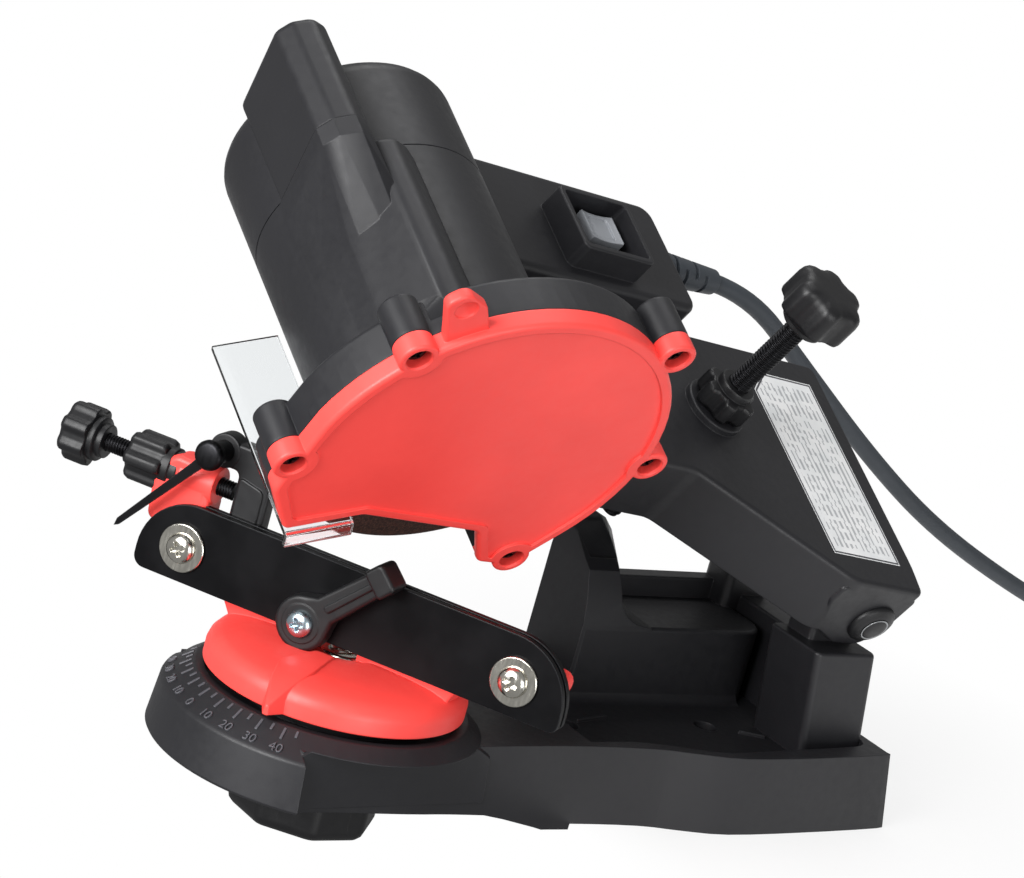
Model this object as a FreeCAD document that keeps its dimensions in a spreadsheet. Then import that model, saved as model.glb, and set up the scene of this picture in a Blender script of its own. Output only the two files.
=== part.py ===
"""Bench chainsaw sharpener: a base, a swivelling chain vise and a tilting grinding head.

The origin is midway between the two bench bolts on the underside of the base, +X runs to the
rear, +Y away from the operator's near side and +Z up. Three frames carry the pieces:
  BASE  the origin itself
  VISE  on the swivel axis, +X along the chain rails, +Y towards the rear of the rails
  HEAD  on the pivot shaft, +X to the rear of the arm, +Y along the shaft, +Z out of the arm's top
All lengths are millimetres and all angles degrees.
"""
import FreeCAD, Part
import Sketcher
import math
import os

Vector = FreeCAD.Vector
Rotation = FreeCAD.Rotation
Placement = FreeCAD.Placement

SIZES = [
    # base housing
    ("swivel_back", "127", "swivel axis in front of the origin"),
    ("drum_r", "53.5", "round front at its upper edge"),
    ("drum_draft", "1.5", "how much wider the round front is at its foot"),
    ("drum_foot_z", "8.2", "underside of the round front"),
    ("drum_edge_z", "24", "upper edge of the round front"),
    ("scale_r", "44", "inner radius of the angle scale"),
    ("scale_z", "31", "inner height of the angle scale"),
    ("seat_r", "30", "raised seat under the turntable"),
    ("deck_z", "27", "top of the base walls"),
    ("floor_z", "20", "top of the tray floor"),
    ("base_wall", "3", "wall of the base housing"),
    ("front_half", "39", "half width where the round front meets the walls"),
    ("throat_back", "33", "that place before the swivel axis"),
    ("waist_x", "-55", "narrowest station"),
    ("waist_near", "32.4", "near side at the waist"),
    ("waist_far", "46", "far side at the waist"),
    ("belly_x", "10", "station behind the waist"),
    ("belly_near", "40.8", "near side behind the waist"),
    ("tail_x", "81", "rear end"),
    ("tail_near", "38.5", "near side at the rear end"),
    ("tail_far", "57", "far side from the origin to the rear end"),
    ("edge_x", "-46", "face that meets the bench's front edge"),
    ("lip_len", "11", "hooked lip in front of that face"),
    ("lip_drop", "2", "how far the lip hangs below the bench top"),
    ("bolt_pitch", "60", "distance between the bench bolts"),
    ("bolt_hole_r", "4.25", "bench bolt holes"),
    ("bolt_boss_r", "9", "bosses round the bench bolt holes"),
    ("block_x", "-18", "front of the raised block"),
    ("block_end_x", "65", "rear of the raised block"),
    ("block_y", "20", "near face of the raised block"),
    ("block_z", "47", "top of the raised block"),
    ("tower_len", "28", "depth-stop tower along X"),
    ("tower_near_z", "67.5", "near edge of the tower pad"),
    ("tower_far_z", "78.5", "far edge of the tower pad"),
    ("tower_near_y", "28", "near edge of the tower pad"),
    ("post_x", "51", "front face of the near post"),
    ("post_near_y", "26", "near face of the near post"),
    ("post_depth", "40", "near post across"),
    ("post_z", "55", "shoulder of the near post"),
    ("far_post_x", "42", "front face of the far post"),
    ("far_post_y", "36", "near face of the far post"),
    ("far_post_z", "106", "top of the far post"),
    ("boss_r", "13", "bearing bosses on the posts"),
    ("near_boss_w", "18.5", "near bearing boss begins here on the shaft"),
    ("far_boss_w", "88", "far bearing boss begins here on the shaft"),
    ("boss_len", "15.5", "each bearing boss along the shaft"),
    ("near_boss_drop", "40", "near boss down to its post"),
    ("far_boss_drop", "20", "far boss down to its post"),
    # swivel
    ("swivel_bolt_r", "5", "swivel bolt"),
    ("swivel_head_r", "7.2", "head of the swivel bolt"),
    ("swivel_head_z", "44.6", "top of that head"),
    ("swivel_washer_r", "11", "washer under the swivel knob"),
    ("knob_r", "24.5", "swivel knob over its corners"),
    ("knob_z", "-12", "bottom of the swivel knob"),
    ("knob_flats", "8", "flats on the swivel knob"),
    ("thin_washer", "1.2", "plain washers"),
    ("run_gap", "0.05", "radial clearance of running fits"),
    ("face_gap", "0.3", "gap between faces that slide past each other"),
    # vise
    ("vise_angle", "32", "rest angle of the vise on its scale"),
    ("table_r", "42.4", "turntable rim"),
    ("table_z", "33", "underside of the turntable rim"),
    ("table_rim", "3.5", "height of the turntable rim"),
    ("table_top_z", "44", "top of the turntable"),
    ("table_top_r", "16", "flat centre of the turntable"),
    ("table_wall", "3", "wall of the turntable"),
    ("table_swell", "4.6", "crown of the turntable above a straight cone"),
    ("pointer_len", "6.5", "pointer past the rim"),
    ("pointer_half", "3", "half width of the pointer"),
    ("rail_len", "154", "chain rails"),
    ("rail_mid", "3.4", "middle of the rails along themselves"),
    ("rail_z", "48", "lower edge of the rails"),
    ("rail_high", "25.7", "height of the rails"),
    ("rail_arc", "20", "rounded upper corners of the rails"),
    ("rail_thick", "2.3", "one rail plate"),
    ("rail_front", "9.5", "front face of the front rail before the swivel axis"),
    ("groove", "1.4", "chain groove between the rails"),
    ("screw_pitch", "118", "distance between the rail screws"),
    ("screw_mid", "1.4", "middle of the two rail screws"),
    ("screw_z", "59.3", "height of the rail screws"),
    ("rail_screw_r", "2.5", "rail screws"),
    ("rail_head_r", "4.9", "heads of the rail screws"),
    ("rail_head", "2.6", "height of those heads"),
    ("rail_washer_r", "7.9", "washers of the rail screws"),
    ("nut_r", "4.6", "hexagon nuts over their corners"),
    ("nut_high", "4", "hexagon nuts"),
    ("vise_wall", "10", "turntable wall behind the rails"),
    ("vise_wall_z", "64", "top of that wall"),
    ("vise_left", "10.8", "that wall past the left screw"),
    ("vise_right", "14.7", "that wall past the right screw"),
    ("lever_x", "-9.6", "clamp lever along the rails"),
    ("lever_z", "53", "height of the clamp lever's screw"),
    ("lever_hub_r", "9", "hub of the clamp lever"),
    ("lever_thick", "6.5", "clamp lever"),
    ("lever_reach", "38", "clamp lever from its screw to its end"),
    ("lever_width", "9", "blade of the clamp lever"),
    ("lever_tilt", "45", "rest angle of the clamp lever's blade"),
    ("lever_grip", "4", "grip at the lever's end stands forward"),
    # chain stop
    ("stop_z", "80", "height of the stop screw"),
    ("stop_n", "1", "stop screw before the swivel axis"),
    ("stop_r", "3", "stop screw"),
    ("stop_end_x", "-48.2", "end of the stop screw at its carriage"),
    ("stop_knob_x", "-113.6", "outer end of the stop knob"),
    ("stop_knob_r", "12", "stop knob"),
    ("stop_knob_len", "18", "stop knob along its screw"),
    ("stop_nut_x", "-86", "outer end of the stop lock nut"),
    ("stop_nut_r", "9.5", "stop lock nut"),
    ("lug_r", "6.2", "bracket round the stop screw"),
    ("lug_x", "-67", "outer face of the bracket"),
    ("lug_len", "13", "bracket along the stop screw"),
    ("carriage_len", "12", "stop carriage along the rails"),
    ("carriage_z", "66", "lower end of the stop carriage"),
    ("carriage_high", "30", "stop carriage"),
    ("pawl_x", "-54.6", "pawl pin along the rails"),
    ("pawl_z", "92.2", "height of the pawl pin"),
    ("pawl_pin_r", "2", "pawl pin"),
    ("pawl_len", "43", "pawl from its pin to its tip"),
    ("pawl_tilt", "231", "rest angle of the pawl"),
    ("pawl_wide", "3.2", "pawl blade"),
    ("pawl_thick", "1.6", "pawl blade from front to back"),
    ("pawl_gap", "1.5", "pawl blade before the front rail"),
    ("pawl_cap", "2.7", "cap on the pawl pin"),
    # pivot and arm
    ("pivot_x", "64", "pivot shaft behind the origin, at its near end"),
    ("pivot_y", "-37.5", "near end of the pivot axis"),
    ("pivot_z", "65", "height of that end"),
    ("pivot_rise", "30", "slope of the pivot axis"),
    ("arm_fall", "9", "arm turned down about the shaft at rest"),
    ("pivot_r", "5", "pivot shaft"),
    ("pivot_start", "9", "near end of the shaft"),
    ("pivot_end", "115.5", "far end of the shaft"),
    ("pivot_cap_r", "8.5", "push caps on the shaft"),
    ("pivot_cap", "4", "push caps along the shaft"),
    ("arm_near", "12.3", "near face of the arm"),
    ("arm_far", "112", "far face of the arm"),
    ("arm_top", "17.8", "top of the arm above the shaft"),
    ("arm_skirt", "-8", "lower edge of the arm's walls"),
    ("arm_rear", "8", "rear edge of the arm behind the shaft"),
    ("arm_wall", "2.8", "wall of the arm"),
    ("arm_bend_x", "-25", "near wall turns here"),
    ("arm_neck_x", "-84", "near wall meets the head here"),
    ("ear_r", "15.7", "ears round the shaft"),
    ("ear", "5.2", "thickness of the ears"),
    ("plate_x", "-30", "left edge of the label plate"),
    ("plate_len", "34", "label plate across"),
    ("plate_w", "23.5", "near edge of the label plate"),
    ("plate_long", "79.5", "label plate along the shaft"),
    ("plate_thick", "0.6", "label plate"),
    ("plate_cut", "9", "cut corner of the label plate"),
    ("spring_turns", "16", "turns of the return spring"),
    ("spring_wire", "2.3", "wire of the return spring"),
    # depth stop
    ("depth_x", "-60", "depth screw before the shaft"),
    ("depth_w", "78.5", "depth screw along the shaft"),
    ("depth_r", "4", "depth screw"),
    ("depth_tip", "-37", "tip of the depth screw"),
    ("depth_knob_z", "66", "underside of the depth knob"),
    ("depth_knob_r", "15", "depth knob"),
    ("depth_knob_len", "15", "depth knob along its screw"),
    ("collar", "4", "collar under the depth knob"),
    ("depth_ring_r", "11.5", "round seat on the arm"),
    ("depth_ring", "2.5", "height of that seat"),
    ("depth_nut_r", "10.5", "depth lock nut"),
    ("depth_nut_len", "11", "depth lock nut"),
    # grinding disc and its housing
    ("disc_x", "-196", "disc axis before the shaft"),
    ("disc_s", "21", "disc axis above the shaft"),
    ("disc_w", "40.2", "near face of the disc"),
    ("disc_r", "54", "grinding disc"),
    ("disc_thick", "3.2", "grinding disc"),
    ("disc_edge", "2", "bevelled edge of the disc"),
    ("bore_r", "11.1", "bore of the disc"),
    ("cover_r", "62", "round rim of the cover"),
    ("cover_dx", "2", "rim centre behind the disc axis"),
    ("cover_w", "28.5", "front face of the cover"),
    ("rim_w", "35", "joint of cover and housing"),
    ("back_w", "48", "rear face of the disc housing"),
    ("house_wall", "2.6", "walls of cover and housing"),
    ("eye_r", "6.2", "screw eyes"),
    ("eye_hole_r", "2.1", "holes in the screw eyes"),
    ("eye_sink_r", "3.9", "counterbores of the screw eyes"),
    ("cover_screw_r", "1.65", "cover screws"),
    ("cover_head_r", "3.6", "heads of the cover screws"),
    ("cover_head", "2.2", "height of those heads"),
    ("eye_seat", "2", "floor under those heads"),
    ("shield_len", "53", "eye shield past the rear face of the disc housing"),
    ("motor_r", "38", "motor housing"),
    ("motor_dx", "-2", "motor axis from the disc axis"),
    ("motor_wall", "2.6", "motor housing wall"),
    ("seam_w", "121", "joint of motor housing and cap"),
    ("motor_end_w", "160", "end of the motor cap"),
    ("fin_w", "163", "end of the fin on the cap"),
    ("ridge_back", "4", "end of the ridge before the joint of housing and cap"),
    ("fin_start", "9", "fin before the joint of housing and cap"),
    # drive
    ("spindle_r", "4", "rotor shaft"),
    ("flange_r", "17", "disc flanges"),
    ("flange", "1.6", "disc flanges"),
    ("disc_nut_len", "5", "disc nut"),
    ("core_r", "18", "rotor core"),
    ("bearing_r", "11", "ball bearings"),
    ("bearing", "7", "ball bearings"),
    ("core_gap", "24", "rotor core behind the disc housing"),
    ("core_end_gap", "7", "rotor core before the seam"),
    ("air_gap", "0.7", "air gap between rotor core and stator"),
    ("fan_gap", "12", "fan behind the disc housing"),
    ("fan_r", "29.5", "cooling fan"),
    ("fan_plate", "1.5", "plate and blades of the fan"),
    ("fan_blade", "5.5", "height of the fan blades"),
    ("fan_blades", "9", "number of fan blades"),
    ("commutator_r", "10.8", "commutator"),
    ("commutator_gap", "3", "commutator behind the seam"),
    ("commutator_len", "14", "commutator along the shaft"),
    ("brush_wide", "6", "carbon brushes along the shaft"),
    ("brush_thick", "5", "carbon brushes across"),
    ("brush_len", "16", "carbon brushes"),
    ("brush_gap", "0.2", "brushes clear of the commutator"),
    ("holder_wall", "1.8", "walls of the brush holders"),
    ("holder_len", "17", "brush holders"),
    # switch box and cord
    ("box_s", "28", "top of the switch box"),
    ("box_x", "-56", "rear side of the switch box"),
    ("box_gap", "2.4", "switch box beyond the far face of the arm"),
    ("neck_left", "30", "neck between arm and box, from the front end of the box"),
    ("neck_right", "4", "that neck, from the rear side of the box"),
    ("box_wide", "47.6", "switch box along the shaft"),
    ("box_low", "-6", "underside of the switch box"),
    ("box_left", "-159.4", "front end of the switch box"),
    ("frame_x", "-117", "front of the raised frame"),
    ("frame_len", "33", "raised frame along the box"),
    ("frame_w", "5.1", "raised frame from the near face of the box"),
    ("frame_wide", "27.8", "raised frame across the box"),
    ("frame_high", "10", "raised frame"),
    ("frame_wall", "2", "raised frame"),
    ("rocker_x", "-97.5", "rocker axis"),
    ("rocker_w", "22.1", "middle of the rocker from the near face of the box"),
    ("rocker_len", "15", "rocker"),
    ("rocker_wide", "12", "rocker"),
    ("rocker_top", "32", "top of the rocker"),
    ("rocker_pin_r", "1", "pin of the rocker"),
    ("rocker_pin_low", "3", "that pin below the top of the box"),
    ("switch_deep", "18", "switch body inside the box"),
    ("switch_rim", "1.4", "rim of the switch body on the box"),
    ("relief_s", "20", "cord entry above the shaft"),
    ("relief_w", "141", "cord entry along the shaft"),
    ("relief_len", "28", "strain relief"),
    ("relief_r", "6", "root of the strain relief"),
    ("cord_r", "3.3", "mains cord"),
    ("plug_r", "11.5", "mains plug"),
    ("plug_front", "28", "front of the plug before its middle"),
    ("plug_back", "20", "tail of the plug behind its middle"),
    ("pin_r", "2.4", "pins of the plug"),
    ("pin_half", "8.4", "half the distance between the pins"),
    ("pin_len", "19", "pins of the plug"),
]


class Size:
    """A number together with the spreadsheet expression that it comes from."""

    def __init__(self, number, text=None):
        self.number = float(number)
        self.text = text or "%.9g" % self.number

    def joined(self, sign, other, number, swap=False):
        first, second = (size(other), self) if swap else (self, size(other))
        return Size(number, "(%s %s %s)" % (first.text, sign, second.text))

    def __add__(self, other):
        return self.joined("+", other, self.number + size(other).number)

    def __sub__(self, other):
        return self.joined("-", other, self.number - size(other).number)

    def __mul__(self, other):
        return self.joined("*", other, self.number * size(other).number)

    def __truediv__(self, other):
        return self.joined("/", other, self.number / size(other).number)

    def __radd__(self, other):
        return self.joined("+", other, size(other).number + self.number, swap=True)

    def __rsub__(self, other):
        return self.joined("-", other, size(other).number - self.number, swap=True)

    def __neg__(self):
        return Size(-self.number, "(0 - %s)" % self.text)

    def __float__(self):
        return self.number


def size(value):
    """Any number as a Size."""
    return value if isinstance(value, Size) else Size(value)


class SizeSheet:
    """The spreadsheet of driving dimensions, read by name."""

    def __init__(self, document):
        self.sheet = document.addObject("Spreadsheet::Sheet", "sizes")
        for row, (alias, number, meaning) in enumerate(SIZES, start=1):
            self.sheet.set("A%d" % row, meaning)
            self.sheet.set("B%d" % row, number)
            self.sheet.setAlias("B%d" % row, alias)
        document.recompute()

    def __getattr__(self, alias):
        return Size(self.sheet.get(alias), "sizes." + alias)


doc = FreeCAD.newDocument("chainsaw_sharpener")
S = SizeSheet(doc)
sub_parts = []

# ---------------------------------------------------------------- frames


def shifted(frame, x=0, y=0, z=0):
    """A frame moved along its own axes."""
    return frame.multiply(Placement(Vector(float(x), float(y), float(z)), Rotation()))


def turned(frame, axis, angle):
    """A frame turned about one of its own axes."""
    return frame.multiply(Placement(Vector(), Rotation(axis, float(angle))))


AXIS_X, AXIS_Y, AXIS_Z = Vector(1, 0, 0), Vector(0, 1, 0), Vector(0, 0, 1)
BASE = Placement()
SWIVEL = shifted(BASE, x=-S.swivel_back)
VISE = turned(SWIVEL, AXIS_Z, S.vise_angle - 90)
PIVOT_FOOT = shifted(BASE, S.pivot_x, S.pivot_y, S.pivot_z)
HEAD = turned(turned(PIVOT_FOOT, AXIS_X, S.pivot_rise), AXIS_Y, S.arm_fall)
DISC = shifted(HEAD, x=S.disc_x, z=S.disc_s)
DEPTH = shifted(HEAD, x=S.depth_x, y=S.depth_w)
STOP = shifted(VISE, y=-S.stop_n, z=S.stop_z)
LEVER = turned(shifted(VISE, x=S.lever_x, z=S.lever_z), AXIS_Y, -S.lever_tilt)
PAWL = turned(shifted(VISE, x=S.pawl_x, z=S.pawl_z), AXIS_Y, -S.pawl_tilt)
BOX_NEAR = S.arm_far + S.box_gap
ROCKER = shifted(HEAD, x=S.rocker_x, y=BOX_NEAR + S.rocker_w, z=S.box_s)
RELIEF = shifted(HEAD, x=S.box_x, y=S.relief_w, z=S.relief_s)

# Sketch planes: how a sketch lies in its frame, and whether its normal runs along the frame's axis.
PLANES = {
    "XY": (Rotation(), 1),
    "XZ": (Rotation(AXIS_X, 90), -1),
    "YZ": (Rotation(Vector(1, 1, 1), 120), 1),
}

# ---------------------------------------------------------------- drawing helpers


def circle(x, y, radius):
    return [("circle", x, y, radius)]


def rectangle(x0, x1, y0, y1):
    return [(x0, y0), (x1, y0), (x1, y1), (x0, y1)]


def polygon(radius, corners, turn=0.0):
    """A regular polygon about the origin; radius is to its corners."""
    angles = [math.radians(turn + 360.0 * k / corners) for k in range(corners)]
    return [(radius * math.cos(t), radius * math.sin(t)) for t in angles]


def arc_between(start, end, radius):
    """The arc from start to end: counter-clockwise and minor for a positive radius."""
    chord = end - start
    half = chord.Length / 2
    rise = math.sqrt(max(radius * radius - half * half, 0.0))
    normal = Vector(-chord.y, chord.x, 0).normalize()
    centre = (start + end) * 0.5 + normal * (rise if radius > 0 else -rise)
    first = math.atan2(start.y - centre.y, start.x - centre.x)
    last = math.atan2(end.y - centre.y, end.x - centre.x)
    ring = Part.Circle(centre, Vector(0, 0, 1), abs(radius))
    if radius > 0:
        return Part.ArcOfCircle(ring, first, last), 1, 2
    return Part.ArcOfCircle(ring, last, first), 2, 1


def draw_loop(sketch, loop):
    """One closed loop in a sketch. A corner is (x, y), or (x, y, radius) when an arc leads to it."""
    if loop[0][0] == "circle":
        tag, x, y, radius = loop[0]
        where = Vector(float(x), float(y), 0)
        index = sketch.addGeometry(Part.Circle(where, Vector(0, 0, 1), float(radius)))
        pin(sketch, "DistanceX", index, 3, x)
        pin(sketch, "DistanceY", index, 3, y)
        rule = sketch.addConstraint(Sketcher.Constraint("Radius", index, float(radius)))
        sketch.setExpression("Constraints[%d]" % rule, size(radius).text)
        return
    ends = []
    corners = [Vector(float(p[0]), float(p[1]), 0) for p in loop]
    for k, corner in enumerate(loop):
        start, end = corners[k - 1], corners[k]
        if len(corner) == 3:
            curve, first, last = arc_between(start, end, float(corner[2]))
            index = sketch.addGeometry(curve)
            rule = sketch.addConstraint(Sketcher.Constraint("Radius", index, abs(float(corner[2]))))
            sketch.setExpression("Constraints[%d]" % rule, "abs(%s)" % size(corner[2]).text)
        else:
            index = sketch.addGeometry(Part.LineSegment(start, end))
            first, last = 1, 2
        ends.append((index, first, last))
    for k in range(len(loop)):
        before, after = ends[k], ends[(k + 1) % len(loop)]
        sketch.addConstraint(Sketcher.Constraint("Coincident", before[0], before[2], after[0], after[1]))
        pin(sketch, "DistanceX", before[0], before[2], loop[k][0])
        pin(sketch, "DistanceY", before[0], before[2], loop[k][1])


def pin(sketch, kind, index, point, value):
    """Fixes one coordinate of a sketch point to a size."""
    rule = sketch.addConstraint(Sketcher.Constraint(kind, index, point, float(value)))
    if isinstance(value, Size):
        sketch.setExpression("Constraints[%d]" % rule, value.text)


class Piece:
    """One sub-part: a PartDesign body in its frame, built feature by feature."""

    def __init__(self, label, frame=BASE):
        self.frame = frame
        self.body = doc.addObject("PartDesign::Body", label)
        self.body.Label = label
        self.body.Placement = frame
        sub_parts.append(self.body)

    def sketch(self, plane, loops, start=0, frame=None):
        """A sketch on a plane of the piece's frame, or of another frame, start mm along its axis."""
        sketch = self.body.newObject("Sketcher::SketchObject", self.body.Label + "_sketch")
        turn, sign = PLANES[plane]
        role = plane + "_Plane" if frame is None else "XY_Plane"
        origin = [f for f in self.body.Origin.OriginFeatures if f.Role == role][0]
        sketch.AttachmentSupport = [(origin, "")]
        sketch.MapMode = "FlatFace"
        offset = size(start) if sign > 0 else -size(start)
        if frame is None:
            sketch.setExpression("AttachmentOffset.Base.z", offset.text)
        else:
            local = self.frame.inverse().multiply(frame).multiply(Placement(Vector(), turn))
            sketch.AttachmentOffset = shifted(local, z=offset)
        for loop in loops:
            draw_loop(sketch, loop)
        return sketch

    def pad(self, plane, loops, start, end, frame=None):
        """Material from start to end along the plane's axis."""
        pad = self.body.newObject("PartDesign::Pad", self.body.Label + "_pad")
        pad.Profile = self.sketch(plane, loops, start, frame)
        pad.setExpression("Length", (size(end) - start).text)
        pad.Reversed = PLANES[plane][1] < 0
        return pad

    def cut(self, plane, loops, start, end, frame=None):
        """A pocket from start to end along the plane's axis."""
        pocket = self.body.newObject("PartDesign::Pocket", self.body.Label + "_pocket")
        pocket.Profile = self.sketch(plane, loops, start, frame)
        pocket.setExpression("Length", (size(end) - start).text)
        pocket.Reversed = PLANES[plane][1] > 0
        return pocket

    def turn(self, plane, loop, axis="V_Axis", frame=None):
        """A full revolution of a profile about the sketch's own axis."""
        turned_solid = self.body.newObject("PartDesign::Revolution", self.body.Label + "_turn")
        sketch = self.sketch(plane, [loop], 0, frame)
        turned_solid.Profile = sketch
        turned_solid.ReferenceAxis = (sketch, [axis])
        turned_solid.Angle = 360
        return turned_solid

    def repeat(self, feature, count):
        """Copies of a feature evenly round its sketch's normal."""
        pattern = self.body.newObject("PartDesign::PolarPattern", self.body.Label + "_pattern")
        pattern.Originals = [feature]
        pattern.Axis = (feature.Profile[0], ["N_Axis"])
        pattern.Angle = 360
        pattern.setExpression("Occurrences", size(count).text)
        self.body.Tip = pattern
        return pattern


# ---------------------------------------------------------------- base


def base_near_y(x, inset=0):
    """Near side of the base at a station between the waist and the belly."""
    slope = (S.belly_near - S.waist_near) / (S.belly_x - S.waist_x)
    return -(S.waist_near - inset + slope * (x - S.waist_x))


def make_base_housing():
    """Moulded base: round front with its scale, tray, block, tower and two bearing posts."""
    piece = Piece("base_housing")
    wall = S.base_wall
    seat_z = S.table_z - S.face_gap
    ring_r = S.scale_r - wall
    piece.turn("XZ", [
        (0, S.drum_foot_z), (S.drum_r + S.drum_draft, S.drum_foot_z), (S.drum_r, S.drum_edge_z),
        (S.scale_r, S.scale_z), (ring_r, S.scale_z), (ring_r, S.deck_z),
        (S.seat_r, S.deck_z), (S.seat_r, seat_z), (0, seat_z)], frame=SWIVEL)
    throat_x = -S.swivel_back - S.throat_back
    rim = S.drum_r * 1.2
    for side, near, far in ((-1, S.front_half, S.waist_near), (1, S.front_half, S.waist_far)):
        piece.cut("XY", [[(throat_x, near * side), (S.waist_x, far * side),
                          (S.waist_x, rim * side), (throat_x, rim * side)]], -S.lip_drop, S.table_z)
    piece.pad("XY", [[(throat_x, -S.front_half), (S.waist_x, -S.waist_near),
                      (S.edge_x, base_near_y(S.edge_x)), (S.edge_x, S.waist_far),
                      (S.waist_x, S.waist_far), (throat_x, S.front_half)]], S.drum_foot_z, S.deck_z)
    piece.pad("XY", [[(S.edge_x, base_near_y(S.edge_x)), (S.belly_x, -S.belly_near), (S.tail_x, -S.tail_near),
                      (S.tail_x, S.tail_far), (S.belly_x, S.tail_far), (S.edge_x, S.waist_far)]], 0, S.deck_z)
    piece.pad("XY", [rectangle(S.edge_x - S.lip_len, S.edge_x, -(S.waist_near - wall), S.waist_far - wall)],
              -S.lip_drop, S.drum_foot_z)
    front_floor = S.floor_z - wall
    throat_in = throat_x + wall
    arc_r = S.drum_r - wall * 2
    piece.cut("XY", [[(throat_in, S.front_half - wall), (throat_in, -(S.front_half - wall), arc_r),
                      (S.edge_x - S.lip_len - wall, -(S.waist_near - wall)),
                      (S.edge_x - S.lip_len - wall, S.waist_far - wall)]], 0, front_floor)
    piece.cut("XY", [[(S.edge_x + wall, base_near_y(S.edge_x + wall, wall)),
                      (S.belly_x, -(S.belly_near - wall)), (S.tail_x - wall, -(S.tail_near - wall)),
                      (S.tail_x - wall, S.tail_far - wall), (S.belly_x, S.tail_far - wall),
                      (S.edge_x + wall, S.waist_far - wall)]], 0, front_floor)
    tray_x = S.edge_x - wall
    piece.cut("XY", [[(tray_x, base_near_y(tray_x, wall)), (S.belly_x, -(S.belly_near - wall)),
                      (S.tail_x - wall, -(S.tail_near - wall)), (S.tail_x - wall, S.tail_far - wall),
                      (S.belly_x, S.tail_far - wall), (tray_x, S.waist_far - wall)]], S.floor_z, S.deck_z)
    block = rectangle(S.block_x, S.block_end_x, S.block_y, S.tail_far)
    piece.pad("XY", [block], front_floor, S.block_z)
    piece.cut("XY", [rectangle(S.block_x + wall, S.block_end_x - wall, S.block_y + wall, S.tail_far - wall)],
              front_floor, S.block_z - wall)
    wall_x = S.block_x + S.tower_len
    wall_y = S.tail_far - wall * 3
    piece.pad("XY", [rectangle(wall_x - wall, S.block_end_x, wall_y, S.tail_far)], S.block_z, S.post_z)
    piece.pad("YZ", [[(S.block_y, S.block_z), (S.tower_near_y, S.tower_near_z),
                      (wall_y, S.tower_far_z), (wall_y, S.block_z)]], S.block_x, wall_x)
    post_far_y = S.post_depth - S.post_near_y
    piece.pad("XY", [rectangle(S.post_x, S.tail_x, -S.post_near_y, post_far_y)], front_floor, S.post_z)
    piece.pad("XY", [rectangle(S.far_post_x, S.tail_x, S.far_post_y, S.tail_far)], front_floor, S.far_post_z)
    for start, drop in ((S.near_boss_w, S.near_boss_drop), (S.far_boss_w, S.far_boss_drop)):
        end = start + S.boss_len
        piece.pad("XZ", [rectangle(-S.boss_r, S.boss_r, -drop, 0)], start, end, frame=HEAD)
        piece.pad("XZ", [circle(0, 0, S.boss_r)], start, end, frame=HEAD)
    shaft_room = circle(0, 0, S.pivot_r + wall * 2)
    piece.cut("XZ", [shaft_room], S.near_boss_w + S.boss_len, S.far_boss_w, frame=HEAD)
    piece.cut("XZ", [circle(0, 0, S.pivot_r + S.run_gap)], S.pivot_start, S.pivot_end, frame=HEAD)
    boss_r = S.swivel_bolt_r + wall * 2
    piece.pad("XY", [circle(-S.swivel_back, 0, boss_r)], S.drum_foot_z, S.deck_z)
    piece.cut("XY", [circle(-S.swivel_back, 0, S.swivel_bolt_r + S.run_gap)], 0, S.table_z)
    for side in (-1, 1):
        bolt_x = S.bolt_pitch * side / 2
        piece.pad("XY", [circle(bolt_x, 0, S.bolt_boss_r)], 0, S.floor_z)
        piece.cut("XY", [circle(bolt_x, 0, S.bolt_hole_r)], 0, S.floor_z)


def make_swivel_parts():
    """Bolt, washer and knob that lock the vise at its angle."""
    bolt = Piece("swivel_bolt", SWIVEL)
    head_z = S.swivel_head_z - S.thin_washer * 2
    shank_end = S.knob_z + S.base_wall
    bolt.turn("XZ", [(0, shank_end), (S.swivel_bolt_r, shank_end), (S.swivel_bolt_r, head_z),
                     (S.swivel_head_r, head_z), (S.swivel_head_r, S.swivel_head_z),
                     (S.swivel_bolt_r, S.swivel_head_z), (S.swivel_bolt_r - 1, head_z), (0, head_z)])
    washer_z = S.drum_foot_z - S.thin_washer
    washer = Piece("swivel_washer", SWIVEL)
    washer.pad("XY", [circle(0, 0, S.swivel_washer_r), circle(0, 0, S.swivel_bolt_r + S.run_gap)],
               washer_z, S.drum_foot_z)
    knob = Piece("swivel_knob", SWIVEL)
    flats = int(float(S.knob_flats))
    knob.pad("XY", [polygon(S.knob_r, flats, 180 / flats)], S.knob_z, washer_z - S.face_gap)
    knob.cut("XY", [circle(0, 0, S.swivel_bolt_r + S.run_gap)], shank_end - S.face_gap, washer_z)


# ---------------------------------------------------------------- vise

RAIL_Y = {}
FRONT_FACE = -S.rail_front
RAIL_Y["rail_front"] = (FRONT_FACE, FRONT_FACE + S.rail_thick)
RAIL_Y["rail_rear"] = (FRONT_FACE + S.rail_thick + S.groove, FRONT_FACE + S.rail_thick * 2 + S.groove)
WALL_Y = (RAIL_Y["rail_rear"][1], RAIL_Y["rail_rear"][1] + S.vise_wall)
SCREW_X = (S.screw_mid - S.screw_pitch / 2, S.screw_mid + S.screw_pitch / 2)


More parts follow.
